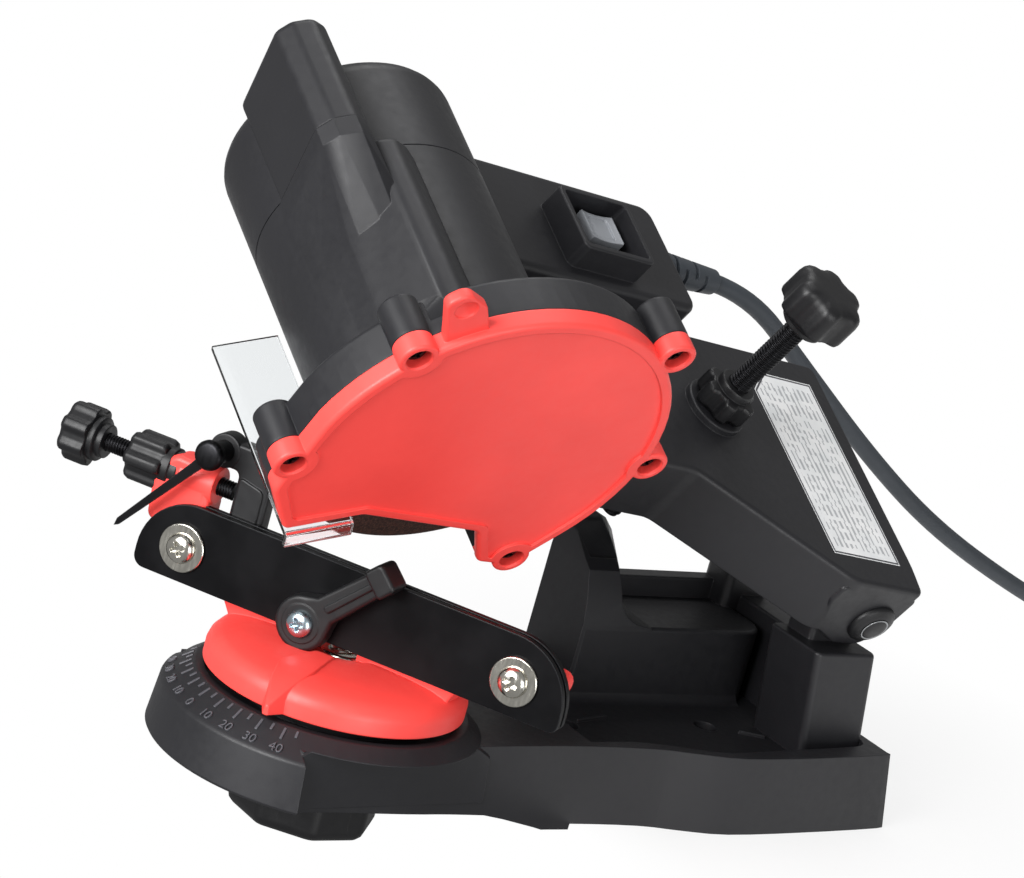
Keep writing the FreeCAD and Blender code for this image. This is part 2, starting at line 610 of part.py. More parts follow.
def make_turntable():
    """Red turntable with its pointer, the wall behind the rails and the stop-screw bracket."""
    piece = Piece("turntable", VISE)
    hub_r = S.swivel_head_r + S.table_wall * 2
    rim_top = S.table_z + S.table_rim
    recess_z = S.swivel_head_z - S.thin_washer * 2
    bore = S.swivel_bolt_r + S.run_gap
    recess = S.swivel_head_r + S.run_gap
    inner_r = S.table_r - S.table_wall
    crown_r = (S.table_r + S.table_top_r) / 2
    crown_z = (S.table_top_z + rim_top) / 2 + S.table_swell / 2
    piece.turn("XZ", [
        (bore, S.table_z), (hub_r, S.table_z), (hub_r, S.table_top_z - S.table_wall),
        (crown_r, crown_z - S.table_wall), (inner_r, rim_top - S.table_wall / 2), (inner_r, S.table_z),
        (S.table_r, S.table_z), (S.table_r, rim_top),
        (crown_r + S.table_wall * 3, crown_z - S.table_wall / 2),
        (crown_r, crown_z), (S.table_top_r, S.table_top_z), (recess, S.table_top_z),
        (recess, recess_z), (bore, recess_z)])
    pointer_foot = S.table_wall * 2 - S.table_r
    piece.pad("XY", [[(-S.pointer_half, pointer_foot), (0, -S.table_r - S.pointer_len),
                      (S.pointer_half, pointer_foot)]], S.table_z, rim_top)
    foot_x = S.table_r - S.table_wall * 2
    left, right = SCREW_X[0] - S.vise_left, SCREW_X[1] + S.vise_right
    foot_z, edge_z = rim_top + S.table_wall / 2, S.rail_z + S.table_wall / 2
    piece.pad("XZ", [[(-foot_x, foot_z), (foot_x, foot_z), (right, edge_z), (right, S.vise_wall_z),
                      (left, S.vise_wall_z), (left, edge_z)]], WALL_Y[0], WALL_Y[1])
    lug_end = S.lug_x + S.lug_len
    web = rectangle(S.lug_x, lug_end, S.vise_wall_z, S.stop_z)
    piece.pad("XZ", [web], WALL_Y[0], WALL_Y[1] - S.table_wall)
    piece.pad("YZ", [circle(-S.stop_n, S.stop_z, S.lug_r)], S.lug_x, lug_end)
    piece.cut("YZ", [circle(-S.stop_n, S.stop_z, S.stop_r + S.run_gap)], S.lug_x - 1, lug_end + 1)
    holes = [circle(x, S.screw_z, S.rail_screw_r + S.run_gap) for x in SCREW_X]
    holes.append(circle(S.lever_x, S.lever_z, S.rail_screw_r + S.run_gap))
    piece.cut("XZ", holes, WALL_Y[0], WALL_Y[1])
    bolt_room = S.swivel_head_r + S.run_gap
    piece.cut("XY", [circle(0, 0, bolt_room)], recess_z, S.swivel_head_z + S.face_gap)
    piece.cut("XY", [circle(0, 0, bore)], S.table_z, S.swivel_head_z)


def make_rails():
    """Two black steel rails with the chain groove between them."""
    left = S.rail_mid - S.rail_len / 2
    right = S.rail_mid + S.rail_len / 2
    top = S.rail_z + S.rail_high
    outline = [(left, S.rail_z), (right, S.rail_z), (right, top - S.rail_arc),
               (right - S.rail_arc, top, S.rail_arc), (left + S.rail_arc, top),
               (left, top - S.rail_arc, S.rail_arc)]
    for label, (front, rear) in RAIL_Y.items():
        piece = Piece(label, VISE)
        holes = [circle(x, S.screw_z, S.rail_screw_r + S.run_gap) for x in SCREW_X]
        holes.append(circle(S.lever_x, S.lever_z, S.rail_screw_r + S.run_gap))
        piece.pad("XZ", [outline] + holes, front, rear)


def make_rail_fasteners():
    """Screws, washers and nuts that hold the rails to the turntable wall."""
    washer_front = FRONT_FACE - S.thin_washer
    head_front = washer_front - S.rail_head
    nut_end = WALL_Y[1] + S.nut_high
    screws = Piece("rail_screws", VISE)
    screws.pad("XZ", [circle(x, S.screw_z, S.rail_head_r) for x in SCREW_X], head_front, washer_front)
    screws.pad("XZ", [circle(x, S.screw_z, S.rail_screw_r) for x in SCREW_X], washer_front, nut_end)
    washers = Piece("rail_washers", VISE)
    rings = [circle(x, S.screw_z, r) for x in SCREW_X
             for r in (S.rail_washer_r, S.rail_screw_r + S.run_gap)]
    washers.pad("XZ", rings, washer_front, FRONT_FACE)
    nuts = Piece("rail_nuts", VISE)
    hexagon = polygon(S.nut_r, 6)
    for x in SCREW_X:
        nuts.pad("XZ", [[(x + px, S.screw_z + pz) for px, pz in hexagon],
                        circle(x, S.screw_z, S.rail_screw_r)], WALL_Y[1], nut_end)


def make_clamp_lever():
    """Cam lever that presses the front rail, and its shouldered screw."""
    rear = FRONT_FACE - S.face_gap
    front = rear - S.lever_thick
    half = S.lever_width / 2
    lever = Piece("clamp_lever", LEVER)
    lever.pad("XZ", [circle(0, 0, S.lever_hub_r)], front, rear)
    lever.pad("XZ", [rectangle(0, S.lever_reach, -half, half)], front, rear)
    lever.pad("XZ", [rectangle(S.lever_reach - half * 2, S.lever_reach, -half - 1, half + 1)],
              front - S.lever_grip, rear)
    lever.cut("XZ", [circle(0, 0, S.rail_screw_r + S.run_gap)], front - 1, rear + 1)
    screw = Piece("lever_screw", shifted(VISE, x=S.lever_x, z=S.lever_z))
    head_rear = front - S.face_gap
    screw.pad("XZ", [circle(0, 0, S.rail_head_r - 0.5)], head_rear - S.rail_head, head_rear)
    screw.pad("XZ", [circle(0, 0, S.rail_screw_r)], head_rear, WALL_Y[1])


# ---------------------------------------------------------------- chain stop


def lobed(piece, plane, core, lobes, start, end, count=6):
    """A grip with round lobes about the piece's axis; radius over the lobes is core + lobes."""
    piece.pad(plane, [circle(0, 0, core)], start, end)
    lobe = piece.pad(plane, [circle(core, 0, lobes)], start, end)
    piece.repeat(lobe, count)


def make_chain_stop():
    """Screw, knob, lock nut, carriage and pawl that set where a cutter stops."""
    rod = Piece("stop_rod", STOP)
    rod_start = S.stop_knob_x + S.stop_knob_len / 3
    rod.pad("YZ", [circle(0, 0, S.stop_r)], rod_start, S.stop_end_x)
    bore = S.stop_r + S.run_gap
    knob = Piece("stop_knob", STOP)
    knob_end = S.stop_knob_x + S.stop_knob_len
    lobed(knob, "YZ", S.stop_knob_r - 3, 3, S.stop_knob_x, knob_end - 5)
    knob.pad("YZ", [circle(0, 0, S.stop_knob_r * 0.6)], knob_end - 5, knob_end)
    knob.cut("YZ", [circle(0, 0, bore)], rod_start - S.face_gap, knob_end + 1)
    nut = Piece("stop_lock_nut", STOP)
    nut_end = S.lug_x - S.face_gap
    lobed(nut, "YZ", S.stop_nut_r - 2.5, 2.5, S.stop_nut_x, nut_end - 5)
    nut.pad("YZ", [circle(0, 0, S.stop_nut_r * 0.7)], nut_end - 5, nut_end)
    nut.cut("YZ", [circle(0, 0, bore)], S.stop_nut_x - 1, nut_end + 1)
    carriage = Piece("stop_carriage", VISE)
    near, far = WALL_Y[0] + S.face_gap, WALL_Y[1] - S.table_wall
    foot_z = S.vise_wall_z + S.face_gap
    carriage_end = S.stop_end_x + S.carriage_len
    carriage_top = S.carriage_z + S.carriage_high
    carriage.pad("XZ", [rectangle(S.stop_end_x, carriage_end, foot_z, carriage_top)], near, far)
    ear_z = S.stop_z + S.lug_r + S.face_gap
    ear_x = S.pawl_x - S.pawl_pin_r * 2.5
    carriage.pad("XZ", [rectangle(ear_x, carriage_end, ear_z, carriage_top)], near, far)
    carriage.cut("XZ", [circle(S.pawl_x, S.pawl_z, S.pawl_pin_r)], near - 1, far + 1)
    pin_piece = Piece("pawl_pin", shifted(VISE, x=S.pawl_x, z=S.pawl_z))
    blade_rear = FRONT_FACE - S.pawl_gap
    blade_front = blade_rear - S.pawl_thick
    cap_front = blade_front - S.face_gap - S.pawl_cap
    pin_piece.pad("XZ", [circle(0, 0, S.pawl_pin_r)], blade_front - S.face_gap, far)
    pin_piece.pad("XZ", [circle(0, 0, S.pawl_pin_r * 2.5)], cap_front, blade_front - S.face_gap)
    pawl = Piece("stop_pawl", PAWL)
    pawl.pad("XZ", [circle(0, 0, S.pawl_pin_r * 2.2)], blade_front, blade_rear)
    half = S.pawl_wide / 2
    pawl.pad("XZ", [[(0, -half), (S.pawl_len, -half / 2), (S.pawl_len, half / 2), (0, half)]],
             blade_front, blade_rear)
    pawl.pad("XZ", [circle(0, 0, S.pawl_pin_r * 1.8)], blade_rear, near - S.face_gap)
    pawl.cut("XZ", [circle(0, 0, S.pawl_pin_r + S.run_gap)], blade_front - 1, near + 1)


# ---------------------------------------------------------------- arm and pivot


def make_arm_shell():
    """Open-bottomed arm that carries the motor, with two ears on the pivot shaft."""
    piece = Piece("arm_shell", HEAD)
    wall = S.arm_wall
    left = S.box_left
    neck_w = S.back_w
    piece.pad("XY", [[(S.arm_rear, S.arm_near), (S.arm_rear, S.arm_far), (left, S.arm_far), (left, neck_w),
                      (S.arm_neck_x, neck_w), (S.arm_bend_x, S.arm_near)]], S.arm_skirt, S.arm_top)
    ear_in = S.arm_near + S.ear
    far_in = S.arm_far - S.ear
    piece.cut("XY", [[(S.arm_rear, ear_in), (S.arm_rear, far_in), (left + wall, far_in),
                      (left + wall, neck_w + wall), (S.arm_neck_x + 1, neck_w + wall),
                      (S.arm_bend_x + 1, ear_in)]], S.arm_skirt, S.arm_top - wall)
    for start, end in ((S.arm_near, ear_in), (far_in, S.arm_far)):
        piece.pad("XZ", [circle(0, 0, S.ear_r)], start, end)
        piece.cut("XZ", [circle(0, 0, S.pivot_r)], start - 1, end + 1)
    piece.pad("XY", [circle(S.depth_x, S.depth_w, S.depth_ring_r)], S.arm_top, S.arm_top + S.depth_ring)
    piece.pad("XY", [circle(S.depth_x, S.depth_w, S.depth_r * 2.2)], 0, S.arm_top)
    piece.cut("XY", [circle(S.depth_x, S.depth_w, S.depth_r + S.run_gap)], -1, S.arm_top + S.depth_ring)
    piece.cut("XY", [plate_outline()], S.arm_top - S.plate_thick, S.arm_top)


def plate_outline():
    """The label plate's outline, with one cut corner."""
    right = S.plate_x + S.plate_len
    far = S.plate_w + S.plate_long
    return [(S.plate_x, S.plate_w), (right, S.plate_w), (right, far),
            (S.plate_x + S.plate_cut, far), (S.plate_x, far - S.plate_cut)]


def make_label_plate():
    piece = Piece("label_plate", HEAD)
    piece.pad("XY", [plate_outline()], S.arm_top - S.plate_thick, S.arm_top)


def make_pivot_parts():
    """Shaft, push caps and the return spring round the shaft."""
    shaft = Piece("pivot_shaft", HEAD)
    shaft.pad("XZ", [circle(0, 0, S.pivot_r)], S.pivot_start, S.pivot_end)
    caps = Piece("pivot_caps", HEAD)
    near_face = S.arm_near - S.pivot_cap
    far_face = S.arm_far + S.pivot_cap
    cap_edge = S.pivot_cap_r * 0.7
    for face, seat, tip in ((near_face, S.arm_near, S.pivot_start), (far_face, S.arm_far, S.pivot_end)):
        inward = 1 if float(seat) > float(face) else -1
        caps.turn("XY", [(0, face), (cap_edge, face), (S.pivot_cap_r, face + 1.5 * inward),
                         (S.pivot_cap_r, seat), (S.pivot_r, seat), (S.pivot_r, tip), (0, tip)])
    spring = Piece("return_spring", HEAD)
    first = S.near_boss_w + S.boss_len + 2
    last = S.far_boss_w - 2
    turns = int(float(S.spring_turns))
    pitch = (last - first) / turns
    inner = S.pivot_r + S.face_gap
    outer = inner + S.spring_wire
    profile = [(inner, last), (inner, first)]
    for k in range(turns):
        start = first + pitch * k
        profile += [(outer, start), (outer, start + pitch * 0.7), (outer - 0.7, start + pitch * 0.85)]
    spring.turn("XY", profile + [(outer, last)])


def make_depth_stop():
    """Screw, knob and lock nut that set how deep the disc grinds."""
    rod = Piece("depth_rod", DEPTH)
    knob_end = S.depth_knob_z + S.depth_knob_len
    rod_end = knob_end - S.base_wall
    rod.pad("XY", [circle(0, 0, S.depth_r)], S.depth_tip, rod_end)
    bore = S.depth_r + S.run_gap
    knob = Piece("depth_knob", DEPTH)
    lobed(knob, "XY", S.depth_knob_r - 4, 4, S.depth_knob_z + S.collar, knob_end)
    knob.pad("XY", [circle(0, 0, S.depth_knob_r * 0.55)], S.depth_knob_z, S.depth_knob_z + S.collar)
    knob.cut("XY", [circle(0, 0, bore)], S.depth_knob_z - 1, rod_end + S.face_gap)
    nut = Piece("depth_lock_nut", DEPTH)
    nut_start = S.arm_top + S.depth_ring + S.face_gap
    nut_end = nut_start + S.depth_nut_len
    lobed(nut, "XY", S.depth_nut_r - 2.5, 2.5, nut_start, nut_end - 3)
    nut.pad("XY", [circle(0, 0, S.depth_nut_r * 0.65)], nut_end - 3, nut_end)
    nut.cut("XY", [circle(0, 0, bore)], nut_start - 1, nut_end + 1)


# ---------------------------------------------------------------- disc housing and motor

EYES = [(-58.6, -18), (-50.7, 33.3), (35.5, 57), (65.2, 11.8), (49.5, -39.8)]
CORNER_LEFT = (-57, -30)
CORNER_LOW = (-41, -45.5)
CORNER_MOUTH = (-19, -33)
MOUTH_END = (27, -31)
LIP_FRONT = (38, -44)
LIP_REAR = (51, -43)
BELOW_MOUTH = -52
RIM_END = math.radians(-23.2)
TAB = [(-36, 36), (-47, 53), (-41, 58), (-28, 44)]
RIDGE = [(-39.7, -1), (0, 0), (-15.2, 34.9), (-20.9, 38.4), (-27.4, 40.5), (-33.2, 37.5)]
FIN = [(-39.7, -1), (-10, 10), (-31.3, 25.7), (-34.7, 39.1), (-41.5, 40.8), (-47.6, 37), (-50.1, 31.4)]


def cover_outline():
    """Outline of the red cover: round rim above, an open mouth and two corners below."""
    return [(S.cover_dx - S.cover_r, 0, S.cover_r), CORNER_LEFT, CORNER_LOW, CORNER_MOUTH, MOUTH_END,
            LIP_FRONT, LIP_REAR, rim_end(S.cover_r), (S.cover_dx, S.cover_r, S.cover_r)]


def rim_end(radius):
    """Where the round rim ends at the right of the mouth."""
    return S.cover_dx + radius * math.cos(RIM_END), radius * math.sin(RIM_END)


def cavity_outline(mouth_x, mouth_y):
    """Room for the disc inside cover or housing, open below from the given corner of its mouth."""
    wall = S.house_wall
    radius = S.cover_r - wall
    low_x, low_y = CORNER_LOW
    side = wall / 2
    lip_x = LIP_FRONT[0] - side
    return [(S.cover_dx - radius, 0, radius), (CORNER_LEFT[0] + wall, CORNER_LEFT[1] + side),
            (low_x, low_y + wall), (mouth_x, mouth_y + wall), (mouth_x, BELOW_MOUTH), (lip_x, BELOW_MOUTH),
            (LIP_FRONT[0] + side, LIP_FRONT[1] + wall), (LIP_REAR[0] - side, LIP_REAR[1] + wall),
            rim_end(radius), (S.cover_dx, radius, radius)]


def make_motor_housing():
    """Disc housing with screw bosses, ridge and lower motor shell, moulded as one."""
    piece = Piece("motor_housing", DISC)
    wall = S.house_wall
    piece.pad("XZ", [cover_outline()], S.rim_w, S.back_w)
    piece.pad("XZ", [circle(x, y, S.eye_r) for x, y in EYES], S.rim_w, S.back_w + 4)
    piece.pad("XZ", [RIDGE], S.back_w, S.seam_w - S.ridge_back)
    piece.pad("XZ", [circle(S.motor_dx, 0, S.motor_r)], S.back_w, S.seam_w)
    piece.pad("XZ", [FIN], S.seam_w - S.fin_start, S.seam_w)
    piece.cut("XZ", [cavity_outline(CORNER_LOW[0] + 1, CORNER_LOW[1] + 0.6)], S.rim_w, S.back_w - wall)
    piece.pad("XZ", [circle(x, y, S.eye_r) for x, y in EYES], S.rim_w, S.back_w)
    piece.cut("XZ", [circle(S.motor_dx, 0, S.motor_r - wall)], S.back_w, S.seam_w)
    piece.pad("XZ", [circle(0, 0, S.bearing_r + wall)], S.back_w, S.back_w + S.bearing + 1)
    piece.cut("XZ", [circle(0, 0, S.bearing_r)], S.back_w + 1, S.seam_w)
    piece.cut("XZ", [circle(0, 0, S.bearing_r - wall)], S.rim_w, S.seam_w)
    piece.cut("XZ", [circle(x, y, S.cover_screw_r + S.run_gap) for x, y in EYES], S.rim_w, S.back_w)


def moved(point, step):
    """A point of an outline moved by a step."""
    return point[0] + step[0], point[1] + step[1]


def make_motor_cap():
    """Closed end of the motor housing, with its fin and the rear bearing seat."""
    piece = Piece("motor_cap", DISC)
    wall = S.motor_wall
    end = S.motor_end_w
    piece.pad("XZ", [circle(S.motor_dx, 0, S.motor_r)], S.seam_w, end)
    piece.pad("XZ", [FIN], S.seam_w, S.fin_w)
    seat_start = end - wall - S.bearing
    piece.cut("XZ", [circle(S.motor_dx, 0, S.motor_r - wall)], S.seam_w, end - wall)
    piece.pad("XZ", [circle(0, 0, S.bearing_r + wall)], seat_start, end - wall)
    piece.cut("XZ", [circle(0, 0, S.bearing_r)], seat_start, end - wall)


def make_disc_cover():
    """Red front cover of the disc, with five screw eyes and a finger tab."""
    piece = Piece("disc_cover", DISC)
    wall = S.house_wall
    piece.pad("XZ", [cover_outline()], S.cover_w, S.rim_w)
    piece.pad("XZ", [circle(x, y, S.eye_r) for x, y in EYES], S.cover_w + 1, S.rim_w)
    piece.pad("XZ", [TAB], S.rim_w - wall, S.rim_w)
    piece.cut("XZ", [cavity_outline(CORNER_MOUTH[0] + 2, CORNER_MOUTH[1])], S.cover_w + wall, S.rim_w)
    piece.pad("XZ", [circle(x, y, S.eye_r) for x, y in EYES], S.rim_w - 4, S.rim_w)
    piece.cut("XZ", [circle(x, y, S.eye_hole_r) for x, y in EYES], S.cover_w, S.rim_w)
    piece.cut("XZ", [circle(x, y, S.eye_sink_r) for x, y in EYES], S.cover_w, S.rim_w - S.eye_seat)


def make_cover_screws():
    piece = Piece("cover_screws", DISC)
    seat_w = S.rim_w - S.eye_seat
    piece.pad("XZ", [circle(x, y, S.cover_head_r) for x, y in EYES], seat_w - S.cover_head, seat_w)
    piece.pad("XZ", [circle(x, y, S.cover_screw_r) for x, y in EYES], seat_w, S.back_w - 1)


def make_eye_shield():
    """Clear plate under the lower edge of the disc housing."""
    piece = Piece("eye_shield", DISC)
    gap = (0.05, -0.09)
    low = moved(CORNER_LOW, gap)
    high = moved(CORNER_MOUTH, (-3, -1.8))
    slot = (low[0] + 5, low[1] + 2.85)
    thick = (1, -1.76)
    piece.pad("XZ", [[low, moved(low, thick), moved(high, thick), high]], S.cover_w - 2,
              S.back_w + S.shield_len)
    lip = (3, -5.28)
    piece.pad("XZ", [[low, moved(low, lip), moved(high, lip), high]], S.cover_w - 2, S.cover_w)
    room = 2.5
    wide = (3, -5.28)
    up = (-3, 5.28)
    piece.cut("XZ", [[moved(slot, up), moved(slot, wide), moved(high, (8, 0)), moved(high, (8, 9))]],
              S.disc_w - room, S.disc_w + S.disc_thick + room)


# ---------------------------------------------------------------- drive


def make_disc_parts():
    """Grinding disc, its two flanges and its nut."""
    near, far = S.disc_w, S.disc_w + S.disc_thick
    disc = Piece("grinding_disc", DISC)
    flat_r, bevel = S.disc_r - S.disc_edge, S.disc_thick / 3
    disc.turn("XY", [(S.bore_r, near), (flat_r, near), (S.disc_r, near + bevel),
                     (S.disc_r, far - bevel), (flat_r, far), (S.bore_r, far)])
    inner = Piece("inner_flange", DISC)
    spigot_r = S.bore_r - S.run_gap
    inner.turn("XY", [(S.spindle_r, near + 0.4), (spigot_r, near + 0.4), (spigot_r, far), (S.flange_r, far),
                      (S.flange_r, far + S.flange), (S.spindle_r, far + S.flange)])
    outer = Piece("outer_flange", DISC)
    outer.pad("XZ", [circle(0, 0, S.flange_r), circle(0, 0, S.spindle_r)], near - S.flange, near)
    nut = Piece("disc_nut", DISC)
    nut_far = near - S.flange
    nut.pad("XZ", [polygon(S.spindle_r * 1.85, 6), circle(0, 0, S.spindle_r)],
            nut_far - S.disc_nut_len, nut_far)


def core_span():
    """Where rotor core and stator begin and end, between the fan and the seam."""
    return S.back_w + S.core_gap, S.seam_w - S.core_end_gap


def make_rotor():
    """Rotor shaft, core, commutator and cooling fan."""
    shaft = Piece("rotor_shaft", DISC)
    rear_seat = S.motor_end_w - S.motor_wall
    shaft.pad("XZ", [circle(0, 0, S.spindle_r)], S.cover_w + 4, rear_seat - 0.5)
    core = Piece("rotor_core", DISC)
    core_start, core_end = core_span()
    core.pad("XZ", [circle(0, 0, S.core_r), circle(0, 0, S.spindle_r)], core_start, core_end)
    commutator = Piece("commutator", DISC)
    commutator.pad("XZ", [circle(0, 0, S.commutator_r), circle(0, 0, S.spindle_r)],
                   S.seam_w + S.commutator_gap, S.seam_w + S.commutator_gap + S.commutator_len)
    fan = Piece("cooling_fan", DISC)
    fan_start = S.back_w + S.fan_gap
    blade_start = fan_start + S.fan_plate
    fan.pad("XZ", [circle(0, 0, S.fan_r), circle(0, 0, S.spindle_r)], fan_start, blade_start)
    half = S.fan_plate / 2
    blade = fan.pad("XZ", [rectangle(S.spindle_r * 2, S.fan_r - half, -half, half)],
                    blade_start - half, blade_start + S.fan_blade)
    fan.repeat(blade, S.fan_blades)


def make_stator_parts():
    """Stator, bearings, brush holders and brushes."""
    stator = Piece("stator", DISC)
    core_start, core_end = core_span()
    stator.pad("XZ", [circle(S.motor_dx, 0, S.motor_r - S.motor_wall), circle(0, 0, S.core_r + S.air_gap)],
               core_start, core_end)
    bearings = Piece("bearings", DISC)
    rear_end = S.motor_end_w - S.motor_wall
    for start in (S.back_w + 1, rear_end - S.bearing):
        bearings.pad("XZ", [circle(0, 0, S.bearing_r), circle(0, 0, S.spindle_r + S.run_gap)],
                     start, start + S.bearing)
    holders = Piece("brush_holders", DISC)
    brushes = Piece("brushes", DISC)
    middle = S.seam_w + S.commutator_gap + S.commutator_len / 2
    half_w, half_t = S.brush_wide / 2, S.brush_thick / 2
    wall = S.holder_wall
    inner_r = S.commutator_r + S.brush_gap
    for side in (-1, 1):
        tube = sorted(((inner_r + wall) * side, (inner_r + wall + S.holder_len) * side), key=float)
        brush = sorted((inner_r * side, (inner_r + S.brush_len) * side), key=float)
        slot = rectangle(middle - half_w, middle + half_w, -half_t, half_t)
        block = rectangle(middle - half_w - wall, middle + half_w + wall, -half_t - wall, half_t + wall)
        holders.pad("YZ", [block], tube[0], tube[1])
        holders.cut("YZ", [slot], tube[0], tube[1])
        brushes.pad("YZ", [slot], brush[0], brush[1])


# ---------------------------------------------------------------- switch box


def make_switch_box():
    """Box beside the motor with the raised frame round the switch, and its lid below."""
    piece = Piece("switch_box", HEAD)
    wall = S.arm_wall
    left, right = S.box_left, S.box_x
    frame_end = S.frame_x + S.frame_len
    frame_near = BOX_NEAR + S.frame_w
    frame_far = frame_near + S.frame_wide
    box_end = BOX_NEAR + S.box_wide
    edge = S.frame_wall
    piece.pad("XY", [rectangle(left, right, BOX_NEAR, box_end)], S.box_low, S.box_s)
    piece.pad("XY", [rectangle(left + S.neck_left, right - S.neck_right, S.arm_far, BOX_NEAR)],
              S.box_low, S.arm_top - 1)
    piece.cut("XY", [rectangle(left + wall, right - wall, BOX_NEAR + wall, box_end - wall)],
              S.box_low, S.box_s - wall)
    piece.pad("XY", [rectangle(S.frame_x, frame_end, frame_near, frame_far),
                     rectangle(S.frame_x + edge, frame_end - edge, frame_near + edge, frame_far - edge)],
              S.box_s, S.box_s + S.frame_high)
    half_x, half_y = switch_half()
    middle = BOX_NEAR + S.rocker_w
    piece.cut("XY", [rectangle(S.rocker_x - half_x, S.rocker_x + half_x, middle - half_y, middle + half_y)],
              S.box_s - wall, S.box_s)
    piece.cut("YZ", [circle(S.relief_w, S.relief_s, S.relief_r - 2)], right - wall, right)
    lid = Piece("box_lid", HEAD)
    lid.pad("XY", [rectangle(left + wall, right - wall, BOX_NEAR + wall, box_end - wall)],
            S.box_low, S.box_low + wall)


def switch_half():
    """Half sizes of the switch body's neck."""
    return S.rocker_len / 2 + 2, S.rocker_wide / 2 + 2


def make_switch():
    """Switch body clipped into the box, with its rocker on a pin."""
    half_x, half_y = switch_half()
    low = -S.switch_deep
    body = Piece("switch_body", ROCKER)
    body.pad("XY", [rectangle(-half_x, half_x, -half_y, half_y)], low, 0)
    body.pad("XY", [rectangle(-half_x - 1.2, half_x + 1.2, -half_y - 0.6, half_y + 0.6)], 0, S.switch_rim)
    well_x = S.rocker_len / 2 + 1
    well_y = S.rocker_wide / 2 + S.run_gap * 2
    body.cut("XY", [rectangle(-well_x, well_x, -well_y, well_y)], low / 2, S.switch_rim)
    body.cut("XZ", [circle(0, -S.rocker_pin_low, S.rocker_pin_r + S.run_gap)], -half_y + 0.8, half_y - 0.8)
    rocker = Piece("rocker", ROCKER)
    half = S.rocker_len / 2
    top = S.rocker_top - S.box_s
    rocker.pad("XZ", [[(-half + 0.5, -5.5), (half - 0.5, -5.5), (half, top), (0, top - 1), (-half, top)]],
               -S.rocker_wide / 2, S.rocker_wide / 2)
    rocker.pad("XZ", [circle(0, -S.rocker_pin_low, S.rocker_pin_r)], -half_y + 1, half_y - 1)


def make_strain_relief():
    """Slotted rubber sleeve where the mains cord leaves the switch box."""
    piece = Piece("strain_relief", RELIEF)
    wall = S.arm_wall
    bore = S.cord_r
    root, tip = S.relief_r, S.cord_r + 1.2
    neck = S.relief_r - 2
    slots = []
    for k in range(3):
        start = S.relief_len * (k * 2 + 1.5) / 8
        end = start + 1.6
        slots += [(start, root - 0.3), (start, tip - 0.2), (end, tip - 0.2), (end, root - 0.5)]
    piece.turn("XY", [(-wall - 2, bore), (-wall - 2, neck + 1), (-wall, neck + 1), (-wall, neck), (0, neck),
                      (0, root)] + slots + [(S.relief_len, tip), (S.relief_len, bore)], axis="H_Axis")


# ---------------------------------------------------------------- mains cord

# Route of the cord from the strain relief down to the bench, after its first point at the relief.
CORD_ROUTE = [(60.5, 74.2, 152.4), (96, 78, 128), (145, 81, 94), (190, 83, 67), (246, 86, 43),
              (298, 88.5, 25), (343, 88.5, 12), (380, 87.4, 5.2), (408, 86.5, 3.3)]
COIL_X, COIL_Y = 432, 45
COIL_COLUMNS, COIL_LAYERS = 3, 3
COIL_TURN_R = 35.0
BEND_SHARE = 0.45


def cord_path(points):
    """Straight runs joined by tangent arcs as large as their runs allow."""
    edges = []
    last = points[0]
    for before, corner, after in zip(points, points[1:], points[2:]):
        inward, outward = (before - corner), (after - corner)
        turn = math.pi - inward.getAngle(outward)
        shorter = min(inward.Length, outward.Length)
        trim = BEND_SHARE * shorter
        radius = trim / math.tan(turn / 2)
        start = corner + inward.normalize() * trim
        end = corner + outward.normalize() * trim
        bisector = (inward + outward).normalize()
        middle = corner + bisector * (math.hypot(radius, trim) - radius)
        edges.append(Part.LineSegment(last, start).toShape())
        edges.append(Part.Arc(start, middle, end).toShape())
        print("cord turn %.0f deg, radius %.0f mm" % (math.degrees(turn), radius))
        last = end
    edges.append(Part.LineSegment(last, points[-1]).toShape())
    return Part.Wire(edges)


def make_cord():
    """Free stretch of the mains cord from the strain relief to the coil on the bench."""
    exit_point = shifted(RELIEF, x=S.relief_len).Base
    path = cord_path([exit_point] + [Vector(*point) for point in CORD_ROUTE])
    radius = float(S.cord_r)
    first = path.Edges[0]
    profile = Part.Wire(Part.Circle(exit_point, first.tangentAt(first.FirstParameter), radius).toShape())
    tube = path.makePipeShell([profile], True, False)
    expected = math.pi * radius ** 2 * path.Length
    if abs(tube.Volume - expected) > expected * 0.01:
        raise ValueError("the cord's volume does not fit its length")
    turns_length = COIL_COLUMNS * COIL_LAYERS * 0.8 * 2 * math.pi * COIL_TURN_R
    print("cord run %.0f mm, coil %.0f mm" % (path.Length, turns_length))
    cord = doc.addObject("Part::Feature", "cord")
    cord.Label = "cord"
    cord.Shape = tube
    sub_parts.append(cord)


def make_cord_coil():
    """Outer shape of the coil that holds the rest of the cord."""
    coil = Piece("cord_coil", shifted(BASE, COIL_X, COIL_Y))
    half = S.cord_r * COIL_COLUMNS
    coil.pad("XY", [circle(0, 0, COIL_TURN_R + half), circle(0, 0, COIL_TURN_R - half)],
             0, S.cord_r * 2 * COIL_LAYERS)


def make_plug():
    """Two-pin mains plug lying beside the coil."""
    body_r, back, front = S.plug_r, -S.plug_back, S.plug_front
    plug_x = COIL_X + COIL_TURN_R + S.cord_r * COIL_COLUMNS + body_r
    plug = Piece("plug", turned(shifted(BASE, plug_x, COIL_Y, body_r), AXIS_Z, 180))
    plug.turn("XY", [(0, back), (S.cord_r + 0.8, back), (body_r - 3, 2), (body_r, 6), (body_r, front),
                     (0, front)])
    plug.pad("XZ", [circle(x, 0, S.pin_r) for x in (-S.pin_half, S.pin_half)], front - 1, front + S.pin_len)


# ---------------------------------------------------------------- build, check and write


